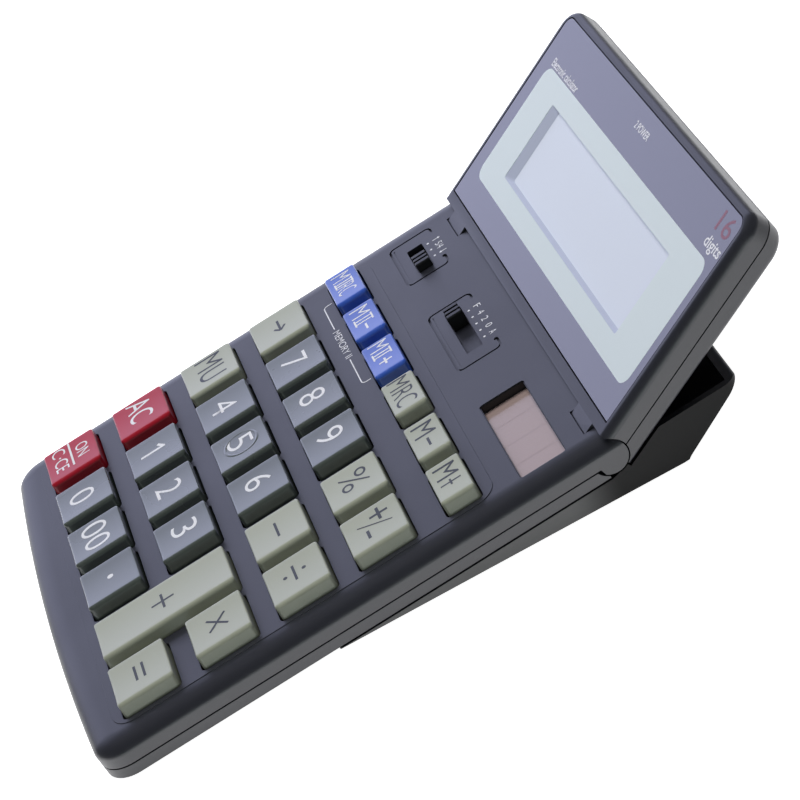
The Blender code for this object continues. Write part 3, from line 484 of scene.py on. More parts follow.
caseSize = {"halfWidth": 74 * mm, "top": 9.4 * mm, "seam": 3.5 * mm, "seamGap": 0.36 * mm, "corner": 8 * mm,
            "bow": 2.4 * mm, "reach": 6.6 * mm, "drop": 3.2 * mm, "wallTop": 7.6 * mm, "floor": 1.4 * mm,
            "cavity": 70 * mm, "cavityFront": 6.4 * mm, "cavityRear": 136.5 * mm, "blankEnd": 150 * mm,
            "blankLow": -2 * mm, "rearStop": 3.4 * mm, "baseStop": 2.2 * mm, "footEdge": 0.4 * mm,
            "softEdge": 0.12 * mm, "bowCuts": 23}
hinge = {"y": 143 * mm, "z": 5.1 * mm, "nose": 4.5 * mm, "gap": 0.35 * mm, "notchGap": 0.42 * mm,
         "knuckles": (-57.6 * mm, 60.1 * mm), "knuckle": 11 * mm}
panelSize = {"half": 67.6 * mm, "front": 10.1 * mm, "rear": 116.4 * mm, "corner": 5.5 * mm, "rise": 0.15 * mm,
             "edge": 0.1 * mm, "sunk": 0.5 * mm}


def roundedBlock(name, low, high, radius, segments=cornerSteps["usual"]):
    piece = block(name, low, high)
    pickEdges(piece, lambda a, b: abs(a.z - b.z) > hair)
    bevelPicked(radius, segments)
    return piece


def bowedBlock(name, low, high, rear):
    # plan outline of the case: round front corners and a bowed front edge
    half = caseSize["halfWidth"]
    piece = block(name, (-half, 0, low), (half, rear, high))
    pickEdges(piece, lambda a, b: a.y < hair and b.y < hair and abs(a.x - b.x) < hair)
    bevelPicked(caseSize["corner"], cornerSteps["large"])
    pickEdges(piece, lambda a, b: a.y < hair and b.y < hair and abs(a.x - b.x) > half)
    bpy.ops.mesh.subdivide(number_cuts=caseSize["bowCuts"])
    bpy.ops.object.mode_set(mode="OBJECT")
    flat = half - caseSize["corner"]
    for point in piece.data.vertices:
        if point.co.y < caseSize["corner"] + hair:
            point.co.y += caseSize["bow"] * min(1, abs(point.co.x) / flat) ** 2
    return piece


def roundRim(piece, height, reach, drop, isRim):
    # an elliptical rounding: the piece is stretched, bevelled evenly and squeezed back
    stretch = reach / drop
    for point in piece.data.vertices:
        point.co.z = height + (point.co.z - height) * stretch
    pickEdges(piece, isRim)
    bevelPicked(reach, cornerSteps["large"])
    for point in piece.data.vertices:
        point.co.z = height + (point.co.z - height) / stretch


def makeUpperShell():
    top = caseSize["top"]
    rear = caseSize["blankEnd"]
    shell = bowedBlock("upperShell", caseSize["blankLow"], top, rear)

    def onRim(a, b):
        level = a.z > top - hair and b.z > top - hair
        return level and not (a.y > rear - mm and b.y > rear - mm)
    roundRim(shell, top, caseSize["reach"], caseSize["drop"], onRim)

    side = [(-pastEdge, caseSize["seam"]), (-pastEdge, pastTop), (hinge["y"], pastTop)]
    side += arcPoints(hinge["y"], hinge["z"], hinge["nose"], start=90, end=-130, steps=44)
    side += [(hinge["y"] - caseSize["rearStop"], caseSize["seam"])]
    boolean(shell, profileBlock("caseSide", side, -pastSide, pastSide), "INTERSECT")

    inner = caseSize["cavity"]
    boolean(shell, block("cavity", (-inner, caseSize["cavityFront"], -pastEdge),
                         (inner, caseSize["cavityRear"], caseSize["wallTop"])))
    return shell


keySize = {"pitch": 22 * mm, "firstColumn": -56 * mm, "extraGap": 2 * mm, "firstRow": 21 * mm, "memoryRow": 108.1 * mm,
           "width": 18.9 * mm, "depth": 15.5 * mm, "smallDepth": 9.2 * mm, "crown": 12.9 * mm, "foot": 6.9 * mm,
           "draft": 0.7 * mm, "edge": 1.3 * mm, "endEdge": 0.6 * mm, "dish": 0.26 * mm, "clearance": 0.45 * mm,
           "corner": 1.1 * mm, "openingCorner": 1.2 * mm, "firstShift": -0.35 * mm,
           "cornerCuts": (1, 0.55, 0.2)}


def columnX(column):
    shift = keySize["firstShift"] if column == 0 else 0
    return keySize["firstColumn"] + column * keySize["pitch"] + (keySize["extraGap"] if column > 3 else 0) + shift


def rowY(row):
    return keySize["firstRow"] + row * keySize["pitch"]


# name, column, row, finish and legend of each key
keyLayout = [
    ("key_on", 0, 0, redKey, "on"), ("key_0", 1, 0, slateKey, "0"), ("key_00", 2, 0, slateKey, "00"),
    ("key_point", 3, 0, slateKey, "point"), ("key_equals", 5, 0, ivoryKey, "equals"),
    ("key_all_clear", 0, 1, redKey, "AC"), ("key_1", 1, 1, slateKey, "1"), ("key_2", 2, 1, slateKey, "2"),
    ("key_3", 3, 1, slateKey, "3"), ("key_times", 5, 1, ivoryKey, "times"),
    ("key_markup", 0, 2, ivoryKey, "MU"), ("key_4", 1, 2, slateKey, "4"), ("key_5", 2, 2, slateKey, "5"),
    ("key_6", 3, 2, slateKey, "6"), ("key_minus", 4, 2, ivoryKey, "minus"), ("key_divide", 5, 2, ivoryKey, "divide"),
    ("key_shift_right", 0, 3, ivoryKey, "arrow"), ("key_7", 1, 3, slateKey, "7"), ("key_8", 2, 3, slateKey, "8"),
    ("key_9", 3, 3, slateKey, "9"), ("key_percent", 4, 3, ivoryKey, "%"), ("key_sign", 5, 3, ivoryKey, "sign"),
    ("key_memory2_recall", 0, "memory", blueKey, "M2RC"), ("key_memory2_minus", 1, "memory", blueKey, "M2-"),
    ("key_memory2_plus", 2, "memory", blueKey, "M2+"), ("key_memory_recall", 3, "memory", ivoryKey, "MRC"),
    ("key_memory_minus", 4, "memory", ivoryKey, "M-"), ("key_memory_plus", 5, "memory", ivoryKey, "M+"),
    ("key_plus", 4, "tall", ivoryKey, "plus"),
]


def keyPlace(column, row):
    # centre and depth of a key
    if row == "memory":
        return columnX(column), keySize["memoryRow"], keySize["smallDepth"]
    if row == "tall":
        return columnX(column), (rowY(0) + rowY(1)) / 2, keySize["depth"] + keySize["pitch"]
    return columnX(column), rowY(row), keySize["depth"]


def makeKeyOpenings():
    cutters = []
    for name, column, row, finish, legend in keyLayout:
        x, y, depth = keyPlace(column, row)
        halfX = keySize["width"] / 2 + keySize["clearance"]
        halfY = depth / 2 + keySize["clearance"]
        cutters.append(roundedBlock("opening", (x - halfX, y - halfY, underTop),
                                    (x + halfX, y + halfY, pastTop), keySize["openingCorner"], 4))
    return joinPieces(cutters, "keyOpenings")


switchSize = {"y": 129.1 * mm, "pitch": 3.9 * mm, "roundingFirst": -57.3 * mm, "decimalFirst": -13.9 * mm,
              "slotDepth": 4.7 * mm, "slotCorner": 0.4 * mm, "roundingSlot": (-59.4 * mm, -45.6 * mm),
              "decimalSlot": (-18.6 * mm, 4.6 * mm), "frameFront": 122.4 * mm, "frameDepth": 13.2 * mm,
              "roundingFrame": (-65.3 * mm, -41.9 * mm), "decimalFrame": (-22.3 * mm, 10.4 * mm),
              "frameCorner": 1.8 * mm, "grooveWidth": 0.62 * mm, "grooveDepth": 0.6 * mm, "hook": 1.6 * mm,
              "longHook": 3.0 * mm, "hookEnd": 0.6 * mm, "innerLine": 1.3 * mm, "lineWidth": 0.3 * mm,
              "lineDepth": 0.2 * mm}


def makeFrameGrooves(xLow, xHigh):
    # an engraved frame whose rear side is open at the labels, with a second fine line inside its front
    front = switchSize["frameFront"]
    rear = front + switchSize["frameDepth"]
    bottom = caseSize["top"] - switchSize["grooveDepth"]
    width = switchSize["grooveWidth"]
    bend = switchSize["frameCorner"]
    ring = roundedBlock("groove", (xLow, front, bottom), (xHigh, rear, pastTop), bend,
                        cornerSteps["small"])
    boolean(ring, roundedBlock("core", (xLow + width, front + width, 0), (xHigh - width, rear - width, 2 * pastTop),
                               bend - width, cornerSteps["small"]))
    gateLow, gateHigh = xLow + switchSize["hook"] + bend, xHigh - switchSize["longHook"] - bend
    boolean(ring, block("gate", (gateLow, rear - 1.5 * width, 0), (gateHigh, rear + width, 2 * pastTop)))
    line = front + switchSize["innerLine"]
    fine = block("fineLine", (xLow + bend, line, caseSize["top"] - switchSize["lineDepth"]),
                 (xHigh - bend, line + switchSize["lineWidth"], pastTop))
    blob = rod("hookEnd", switchSize["hookEnd"], (gateHigh, rear - width, bottom),
               (gateHigh, rear - width, pastTop), roundSides["fine"])
    return ring, fine, blob


solarSize = {"low": (29.8 * mm, 122.5 * mm), "high": (67.7 * mm, 135.3 * mm), "corner": 1 * mm,
             "cell": 7.05 * mm, "thick": 0.8 * mm, "wall": 0.3 * mm, "spare": 0.7 * mm, "strips": 4,
             "line": 0.16 * mm, "gap": 0.02 * mm, "wellDrop": 0.3 * mm, "plateCorner": 0.5 * mm,
             "softEdge": 0.12 * mm}


def cutShell(shell):
    boolean(shell, makeKeyOpenings())
    for slot in ("roundingSlot", "decimalSlot"):
        xLow, xHigh = switchSize[slot]
        halfY = switchSize["slotDepth"] / 2
        boolean(shell, roundedBlock("slot", (xLow, switchSize["y"] - halfY, underTop),
                                    (xHigh, switchSize["y"] + halfY, pastTop), switchSize["slotCorner"], 3))
    for frameName in ("roundingFrame", "decimalFrame"):
        for groove in makeFrameGrooves(*switchSize[frameName]):
            boolean(shell, groove)
    boolean(shell, roundedBlock("lightWell", (*solarSize["low"], underTop), (*solarSize["high"], pastTop),
                                solarSize["corner"], 4))
    for middle in hinge["knuckles"]:
        half = hinge["knuckle"] / 2 + hinge["gap"]
        boolean(shell, rod("notch", hinge["nose"] + hinge["notchGap"], (middle - half, hinge["y"], hinge["z"]),
                           (middle + half, hinge["y"], hinge["z"]), roundSides["hinge"]))
    return shell


def makePlateau():
    # the keys stand on a field that is a little higher than the rest of the case
    size = panelSize
    plateau = roundedBlock("keyField", (-size["half"], size["front"], caseSize["top"] - size["sunk"]),
                           (size["half"], size["rear"], caseSize["top"] + size["rise"]), size["corner"],
                           cornerSteps["medium"])
    boolean(plateau, makeKeyOpenings())
    return soften(plateau, size["edge"], 3)


upperShell = makeUpperShell()
cutShell(upperShell)
soften(upperShell, caseSize["softEdge"])
upperShell = joinPieces([upperShell, makePlateau()], "upperShell")
settle(upperShell, bodyFrame, "case", slateCase, ["upper_case"])
print("upper shell ready")


def makeLowerShell():
    top = caseSize["seam"] - caseSize["seamGap"]
    rear = hinge["y"] - caseSize["baseStop"]
    shell = bowedBlock("lowerShell", 0, top, rear)
    pickEdges(shell, lambda a, b: a.z < hair and b.z < hair and not (a.y > rear - mm and b.y > rear - mm))
    bevelPicked(caseSize["footEdge"], cornerSteps["edge"])
    inner = caseSize["cavity"]
    boolean(shell, block("lowerCavity", (-inner, caseSize["cavityFront"], caseSize["floor"]),
                         (inner, caseSize["cavityRear"], pastTop)))
    boolean(shell, rod("saddle", hinge["nose"] + hinge["gap"], (-pastSide, hinge["y"], hinge["z"]),
                       (pastSide, hinge["y"], hinge["z"]), roundSides["hinge"]))
    return shell


lowerShell = makeLowerShell()
soften(lowerShell, caseSize["softEdge"])
settle(lowerShell, bodyFrame, "case", slateCase, ["lower_case"])
print("lower shell ready")


# Keys

def crownLevel(across):
    # height of the dished top at a share of the half width
    return keySize["crown"] - keySize["dish"] * (1 - min(1, across * across))


def halfWidth(z):
    # half width of a cap at a height
    low, high = caseSize["top"], keySize["crown"] - keySize["edge"]
    share = min(1, max(0, (z - low) / (high - low)))
    return keySize["width"] / 2 - keySize["draft"] * share


def roundCorners(cap, x, y, halfX, halfY):
    # rounds the four upright corners in plan, the upper rims with them
    radius = keySize["corner"]
    activate(cap)
    bpy.ops.object.mode_set(mode="EDIT")
    for axis, middle, half in ((0, x, halfX), (1, y, halfY)):
        for side in (-1, 1):
            for share in keySize["cornerCuts"]:
                point, normal = [0, 0, 0], [0, 0, 0]
                point[axis] = middle + side * (half - radius * share)
                normal[axis] = 1
                bpy.ops.mesh.select_all(action="SELECT")
                bpy.ops.mesh.bisect(plane_co=point, plane_no=normal)
    bpy.ops.object.mode_set(mode="OBJECT")
    for point in cap.data.vertices:
        acrossX, acrossY = point.co.x - x, point.co.y - y
        shareX = (abs(acrossX) - halfWidth(point.co.z) + radius) / radius
        shareY = (abs(acrossY) - halfY + radius) / radius
        if shareX > 0 and shareY > 0:
            point.co.x -= math.copysign(shareX * (1 - math.sqrt(1 - shareY ** 2 / 2)) * radius, acrossX)
            point.co.y -= math.copysign(shareY * (1 - math.sqrt(1 - shareX ** 2 / 2)) * radius, acrossY)


def makeCap(name, x, y, depth):
    # the outline seen from the front, carried along the key: drafted sides, soft upper edges and a dished top
    half = keySize["width"] / 2
    surface = caseSize["top"]
    edge = keySize["edge"]
    rim = half - keySize["draft"] - edge
    outline = [(-half, keySize["foot"]), (half, keySize["foot"]), (half, surface)]
    right = arcPoints(rim, keySize["crown"] - edge, edge, start=0, end=90, steps=7)
    steps = 12
    dish = [(rim * (1 - 2 * i / steps), crownLevel(1 - 2 * i / steps)) for i in range(1, steps)]
    left = [(-px, pz) for px, pz in reversed(right)]
    outline += right + dish + left + [(-half, surface)]
    bpy.ops.object.select_all(action="DESELECT")
    cap = profileBlock(name, outline, -depth / 2, depth / 2)
    # the profile runs along x, so it is turned to run along the key
    carry(cap, Matrix.Translation((x, y, 0)) @ Matrix.Rotation(math.radians(90), 4, "Z"))
    ends = (y - depth / 2, y + depth / 2)
    pickEdges(cap, lambda a, b: any(abs(a.y - end) < hair and abs(b.y - end) < hair for end in ends)
              and max(a.z, b.z) > surface)
    bevelPicked(keySize["endEdge"], cornerSteps["edge"])
    roundCorners(cap, x, y, half, depth / 2)
    return cap


ringSize = {"radius": 4.7 * mm, "wire": 0.7 * mm, "rise": -0.52 * mm, "place": (-0.8 * mm, 0.2 * mm)}


def addTactileRing(cap, x, y):
    # the raised round rim that marks the middle key
    deselectAll()
    shiftX, shiftY = ringSize["place"]
    bpy.ops.mesh.primitive_torus_add(location=(x + shiftX, y + shiftY, crownLevel(0) + ringSize["rise"]),
                                     major_radius=ringSize["radius"], minor_radius=ringSize["wire"],
                                     major_segments=roundSides["usual"], minor_segments=roundSides["wire"])
    rim = bpy.context.active_object
    applyPlace()
    boolean(cap, rim, "UNION")


# Printed legends

printLift = 0.02 * mm


def strip(name, start, end, width, z):
    # a flat printed line
    deselectAll()
    run = Vector((end[0] - start[0], end[1] - start[1], 0))
    middle = ((start[0] + end[0]) / 2, (start[1] + end[1]) / 2, z)
    bpy.ops.mesh.primitive_plane_add(size=1, location=middle, rotation=(0, 0, math.atan2(run.y, run.x)))
    piece = bpy.context.active_object
    piece.scale = (run.length, width, 1)
    piece.name = name
    applyPlace()
    return piece


def dot(name, centre, radius, z):
    deselectAll()
    bpy.ops.mesh.primitive_circle_add(vertices=roundSides["fine"], radius=radius, fill_type="NGON",
                                      location=(*centre, z))
    piece = bpy.context.active_object
    piece.name = name
    applyPlace()
    return piece


def lettering(name, text, centre, height, width, z, thin):
    # text turned into a flat mesh and fitted to its printed height and width
    deselectAll()
    bpy.ops.object.text_add(location=(0, 0, 0))
    piece = bpy.context.active_object
    piece.data.body = text
    piece.data.offset = -thin
    bpy.ops.object.convert(target="MESH")
    piece = bpy.context.active_object
    piece.name = name
    xs = [point.co.x for point in piece.data.vertices]
    ys = [point.co.y for point in piece.data.vertices]
    scaleX, scaleY = width / (max(xs) - min(xs)), height / (max(ys) - min(ys))
    middleX, middleY = (max(xs) + min(xs)) / 2, (max(ys) + min(ys)) / 2
    for point in piece.data.vertices:
        point.co = ((point.co.x - middleX) * scaleX + centre[0], (point.co.y - middleY) * scaleY + centre[1], z)
    return piece


# the printed parts of each legend in mm from the middle of its key:
# word: text, place, height, width and how much thinner than the typeface; roman: left end and width;
# line: two ends and its width; dot: place and radius
legendParts = {
    "0": [("word", "0", (-0.5, -0.6), 7.5, 5.4, 0.008)], "00": [("word", "00", (-0.5, -0.2), 7.5, 11.8, 0.008)],
    "2": [("word", "2", (-0.8, 0.2), 7.5, 5.2, 0.008)], "3": [("word", "3", (-1.3, 0.4), 7.5, 5.2, 0.008)],
    "4": [("word", "4", (-0.9, -0.2), 7.4, 5.6, 0.008)], "5": [("word", "5", (-1.7, 0), 7.4, 5.2, 0.008)],
    "6": [("word", "6", (-1.3, 0.3), 7.5, 5.2, 0.008)], "7": [("word", "7", (-1.2, -0.3), 7.5, 5.1, 0.008)],
    "8": [("word", "8", (-1.7, 0), 7.5, 5.2, 0.008)], "9": [("word", "9", (-1.9, -0.2), 7.6, 5.2, 0.008)],
    "%": [("word", "%", (-0.9, 0.4), 7.7, 7.5, 0.008)], "AC": [("word", "AC", (-1.9, 0.1), 7.2, 10.2, 0.002)],
    "MU": [("word", "MU", (-1, 0.5), 8, 11.6, 0.008)], "MRC": [("word", "MRC", (-0.9, 0), 6, 13, 0.008)],
    "M-": [("word", "M", (-3.5, 0), 6, 5.2, 0.004), ("line", (0.6, 0), (4.4, 0), 0.72)],
    "M+": [("word", "M", (-3.5, 0), 6, 5.2, 0.004), ("line", (0.3, 0), (2.9, 0), 0.55),
           ("line", (1.6, -2.8), (1.6, 2.8), 0.55)],
    "M2-": [("roman", -6.6, 8.2), ("line", (2.1, 0), (5.2, 0), 0.6)],
    "M2+": [("roman", -7.1, 7.4), ("line", (1.2, 0), (4.4, 0), 0.6), ("line", (2.8, -1.9), (2.8, 1.9), 0.6)],
    "M2RC": [("roman", -6.5, 6.4), ("word", "RC", (2.2, 0), 5.6, 4.4, 0.010)],
    "1": [("line", (-0.3, -4.1), (-0.3, 3.3), 0.9), ("line", (-0.1, 3.1), (-2.4, 1.4), 0.9)],
    "point": [("dot", (-0.5, 0.2), 0.87)],
    "plus": [("line", (-3.6, 0), (2.6, 0), 0.72), ("line", (-0.5, -3.2), (-0.5, 3.2), 0.72)],
    "minus": [("line", (-3.6, 0), (2.9, 0), 0.72)],
    "times": [("line", (-3.2, -2.6), (2, 2.6), 0.65), ("line", (-3.2, 2.6), (2, -2.6), 0.65)],
    "divide": [("line", (-4.1, -0.1), (2.3, -0.1), 0.72), ("dot", (-0.9, 2.5), 0.6), ("dot", (-0.9, -2.7), 0.6)],
    "equals": [("line", (-3.5, -1.1), (2.7, -1.1), 0.72), ("line", (-3.5, 1.1), (2.7, 1.1), 0.72)],
    "arrow": [("line", (-3.4, 0.2), (2.2, 0.2), 0.72), ("line", (0.3, 1.9), (2.2, 0.2), 0.72),
              ("line", (0.3, -1.5), (2.2, 0.2), 0.72)],
    "sign": [("line", (-6.1, 2.2), (-1.1, 2.2), 0.85), ("line", (-3.6, -0.3), (-3.6, 4.7), 0.85),
             ("line", (-2.4, -4.1), (1.4, 4.8), 0.42), ("line", (0.6, -2), (4.2, -2), 0.85)],
    "on": [("word", "ON", (-1.1, 3.5), 3.8, 6.4, 0), ("line", (-7.4, 0.1), (4.5, 0.1), 0.62),
           ("word", "C·CE", (-1.5, -3.3), 4.1, 11.4, 0.002)],
}
romanTwo = {"height": 5.6 * mm, "stroke": 0.5 * mm, "letterShare": 0.48, "stemShares": (0.70, 0.88), "serifShare": 0.58,
            "thin": 0.010}


def makeRomanTwo(left, width, y, z):
    # an M and a roman two with its serifs
    height, stroke = romanTwo["height"], romanTwo["stroke"]
    letter = romanTwo["letterShare"] * width
    foot, head = y - height / 2 + stroke / 2, y + height / 2 - stroke / 2
    parts = [lettering("letter", "M", (left + letter / 2, y), height, letter, z, romanTwo["thin"])]
    for share in romanTwo["stemShares"]:
        parts.append(strip("stem", (left + width * share, foot), (left + width * share, head), stroke, z))
    for level in (foot, head):
        parts.append(strip("serif", (left + width * romanTwo["serifShare"], level), (left + width, level), stroke, z))
    return parts


def makeLegend(name, legend, x, y, z):
    def onKey(point):
        return x + point[0] * mm, y + point[1] * mm

    parts = []
    for kind, *facts in legendParts[legend]:
        if kind == "line":
            start, end, width = facts
            parts.append(strip("line", onKey(start), onKey(end), width * mm, z))
        elif kind == "dot":
            middle, radius = facts
            parts.append(dot("dot", onKey(middle), radius * mm, z))
        elif kind == "word":
            text, middle, height, width, thin = facts
            parts.append(lettering("word", text, onKey(middle), height * mm, width * mm, z, thin))
        else:
            left, width = facts
            parts += makeRomanTwo(x + left * mm, width * mm, y, z)
    return joinPieces(parts, name)


def layOnDish(label, x):
    # lets the print follow the dished top
    rim = keySize["width"] / 2 - keySize["draft"] - keySize["edge"]
    for point in label.data.vertices:
        point.co.z = crownLevel((point.co.x - x) / rim) + printLift


for name, column, row, finish, legend in keyLayout:
    x, y, depth = keyPlace(column, row)
    cap = makeCap(name.replace("key_", "cap_"), x, y, depth)
    if name == "key_5":
        addTactileRing(cap, x, y)
    settle(cap, bodyFrame, name, finish, [name], 30)
    ink = greyPrint if finish is ivoryKey else whitePrint
    label = makeLegend(name.replace("key_", "legend_"), legend, x, y, keySize["crown"])
    layOnDish(label, x)
    settle(label, bodyFrame, name, ink, (), 0)
print("keys ready")


# Slide switches

knobSize = {"width": 5.6 * mm, "depth": 4.2 * mm, "rise": 2.4 * mm, "foot": 7.2 * mm, "edge": 0.3 * mm, "ribs": 3,
            "ribDepth": 0.5 * mm, "ribShare": 0.22, "shift": 0.9 * mm, "softEdge": 0.06 * mm}
shutterSize = {"low": 6.1 * mm, "high": 7.25 * mm, "half": 3.2 * mm, "corner": 0.6 * mm,
               "roundingReach": 12 * mm, "decimalReach": 19.7 * mm, "softEdge": 0.1 * mm}


def makeKnob(name, x):
    # a block whose crown is cut into ribs
    y = switchSize["y"]
    halfX, halfY = knobSize["width"] / 2, knobSize["depth"] / 2
    crown = caseSize["top"] + knobSize["rise"]
    knob = block(name, (x - halfX, y - halfY, knobSize["foot"]), (x + halfX, y + halfY, crown))
    pickEdges(knob, lambda a, b: a.z > crown - hair and b.z > crown - hair)
    bevelPicked(knobSize["edge"], 3)
    step = knobSize["width"] / knobSize["ribs"]
    reach = step * knobSize["ribShare"]
    slots = []
    for i in range(knobSize["ribs"] - 1):
        middle = x - halfX + step * (i + 1)
        slots.append(block("ribSlot", (middle - reach, y - halfY * 2, crown - knobSize["ribDepth"]),
                           (middle + reach, y + halfY * 2, pastTop)))
    boolean(knob, joinPieces(slots, "ribSlots"))
    return knob


# the rounding switch rests at its last place, the decimal switch at its first
roundingRest = switchSize["roundingFirst"] + 2 * switchSize["pitch"] + knobSize["shift"]
decimalRest = switchSize["decimalFirst"] - knobSize["shift"]
for name, x, reach, floorFinish in (("rounding_switch", roundingRest, shutterSize["roundingReach"], blackKnob),
                                    ("decimal_switch", decimalRest, shutterSize["decimalReach"], slateCase)):
    knob = makeKnob(name.replace("_switch", "Knob"), x)
    soften(knob, knobSize["softEdge"])
    settle(knob, bodyFrame, name, blackKnob, [name])
    # the shutter that rides with the knob and closes its slot
    y, half = switchSize["y"], shutterSize["half"]
    shutter = roundedBlock(name.replace("_switch", "Shutter"), (x - reach, y - half, shutterSize["low"]),
                           (x + reach, y + half, shutterSize["high"]), shutterSize["corner"], 3)
    soften(shutter, shutterSize["softEdge"])
    settle(shutter, bodyFrame, name, floorFinish, [name])

switchPrint = {"dotRow": 132.8 * mm, "dot": 0.36 * mm, "letterRow": 135.3 * mm, "letterHeight": 2 * mm,
               "letterWidth": 1.4 * mm, "arrowRow": 135.4 * mm, "arrow": 1.1 * mm, "stroke": 0.3 * mm,
               "barb": (0.4 * mm, 0.6 * mm), "barbStroke": 0.26 * mm, "wordHeight": 2.1 * mm, "wordWidth": 3.2 * mm,
               "thin": 0.005}
casePrints = []
level = caseSize["top"] + printLift
for first, count in ((switchSize["roundingFirst"], 3), (switchSize["decimalFirst"], 5)):
    for i in range(count):
        x = first + i * switchSize["pitch"]
        casePrints.append(dot("switchDot", (x, switchPrint["dotRow"]), switchPrint["dot"], level))
for i, letter in enumerate("F420A"):
    x = switchSize["decimalFirst"] + i * switchSize["pitch"]
    casePrints.append(lettering("switchLabel", letter, (x, switchPrint["letterRow"]), switchPrint["letterHeight"],
                                switchPrint["letterWidth"], level, switchPrint["thin"]))
first, row = switchSize["roundingFirst"], switchPrint["arrowRow"]
barbX, barbY = switchPrint["barb"]
for x, direction in ((first, 1), (first + 2 * switchSize["pitch"], -1)):
    casePrints.append(strip("arrowStem", (x, row - switchPrint["arrow"]), (x, row + switchPrint["arrow"]),
                            switchPrint["stroke"], level))
    tip = row + direction * switchPrint["arrow"]
    for side in (-1, 1):
        casePrints.append(strip("arrowBarb", (x + side * barbX, tip - direction * barbY), (x, tip),
                                switchPrint["barbStroke"], level))
casePrints.append(lettering("switchLabel", "5/4", (first + switchSize["pitch"], row), switchPrint["wordHeight"],
                            switchPrint["wordWidth"], level, switchPrint["thin"]))

memoryPrint = {"ends": (-57.4 * mm, -10.8 * mm), "y": 99.8 * mm, "top": 102.4 * mm, "corner": 1.2 * mm,
               "stroke": 0.32 * mm, "gap": (-43.9 * mm, -25.3 * mm), "word": (-34.5 * mm, 99.9 * mm),
               "height": 2.1 * mm, "width": 16 * mm, "thin": 0.006, "bends": 4}
panelLevel = caseSize["top"] + panelSize["rise"] + printLift
for end, side, stop in zip(memoryPrint["ends"], (1, -1), memoryPrint["gap"]):
    # up, round the corner and along to the words
    turnX, turnY = end + side * memoryPrint["corner"], memoryPrint["y"] + memoryPrint["corner"]
    route = [(end, memoryPrint["top"])]
    for i in range(memoryPrint["bends"] + 1):
        angle = math.radians(90 * i / memoryPrint["bends"])
        route.append((turnX - side * memoryPrint["corner"] * math.cos(angle),
                      turnY - memoryPrint["corner"] * math.sin(angle)))
    route.append((stop, memoryPrint["y"]))
    for here, there in zip(route, route[1:]):
        casePrints.append(strip("bracket", here, there, memoryPrint["stroke"], panelLevel))
casePrints.append(lettering("memoryText", "MEMORY II", memoryPrint["word"], memoryPrint["height"],
                            memoryPrint["width"], panelLevel, memoryPrint["thin"]))
settle(joinPieces(casePrints, "casePrint"), bodyFrame, "case", whitePrint, (), 0)
print("switches and case print ready")


# Solar window: a cell with thin lines between its strips at the foot of a black well

def makeSolarCell():
    low, high = solarSize["low"], solarSize["high"]
    spare, level = solarSize["spare"], solarSize["cell"]
    cell = roundedBlock("solarPlate", (low[0] - spare, low[1] - spare, level - solarSize["thick"]),
                        (high[0] + spare, high[1] + spare, level), solarSize["plateCorner"], 4)
    soften(cell, solarSize["softEdge"], 3)
    settle(cell, bodyFrame, "case", solarCell, ["solar_window", "solar_cell"])
    lines = []
    for i in range(1, solarSize["strips"]):
        x = low[0] + (high[0] - low[0]) * i / solarSize["strips"]
        lines.append(strip("cellLine", (x, low[1]), (x, high[1]), solarSize["line"], level + hair))
    settle(joinPieces(lines, "cellLines"), bodyFrame, "case", cellLine, (), 0)


def makeWell():
    low, high = solarSize["low"], solarSize["high"]
    wall, gap = solarSize["wall"], solarSize["gap"]
    well = roundedBlock("wellWall", (low[0] + gap, low[1] + gap, solarSize["cell"] + gap),
                        (high[0] - gap, high[1] - gap, caseSize["top"] - solarSize["wellDrop"]),
                        solarSize["corner"], 4)
    boolean(well, roundedBlock("wellCore", (low[0] + wall, low[1] + wall, 0),
                               (high[0] - wall, high[1] - wall, pastTop), solarSize["corner"] - wall, 4))
    settle(well, bodyFrame, "case", blackKnob, ())


makeSolarCell()
makeWell()


# Display, laid out in its own frame: x across, y up its face, z out of its face

displaySize = {"half": 74 * mm, "height": 65.9 * mm, "front": 4.5 * mm, "seam": -1.4 * mm, "seamGap": 0.3 * mm,
               "back": -5.8 * mm, "corner": 6 * mm, "rim": 2.68 * mm, "backRim": 1.5 * mm, "backStart": 0.9 * mm,
               "backFall": 1.05 * mm, "lip": 3 * mm, "seatDepth": 1.2 * mm, "foot": -5 * mm, "bore": 1.8 * mm,
               "hollowLow": (-70.4 * mm, 8.1 * mm), "hollowHigh": (70.4 * mm, 64.2 * mm), "hollowFront": 1.5 * mm,
               "hollowBack": -4 * mm, "softEdge": 0.14 * mm}
crystalSize = {"low": (-52 * mm, 18 * mm, 1.7 * mm), "high": (52 * mm, 45 * mm), "gap": 0.3 * mm, "drop": 0.02 * mm}
glassSize = {"half": 70.6 * mm, "low": 6.4 * mm, "high": 63.5 * mm, "corner": 3 * mm, "gap": 0.35 * mm,
             "bottom": 3.6 * mm, "top": 4.4 * mm, "softEdge": 0.08 * mm}
screenSize = {"frameLow": (-64.4 * mm, 14.5 * mm), "frameHigh": (67.6 * mm, 50.1 * mm), "frameCorner": 3.6 * mm,
              "low": (-48.9 * mm, 20.7 * mm), "high": (49.9 * mm, 44 * mm), "corner": 0.8 * mm, "spare": 0.4 * mm,
              "slopeLow": (3.6 * mm, 1 * mm), "slopeHigh": (0.25 * mm, 0.25 * mm), "plate": 0.1 * mm, "depth": 1.4 * mm,
              "rise": 0.015 * mm, "lap": 0.1 * mm, "wallShare": 0.9}


def uprightBlock(name, low, high, radius, segments=cornerSteps["medium"]):
    # square at its foot, round at its two top corners
    piece = block(name, low, high)
    pickEdges(piece, lambda a, b: abs(a.z - b.z) > hair and a.y > high[1] - hair)
    bevelPicked(radius, segments)
    return piece


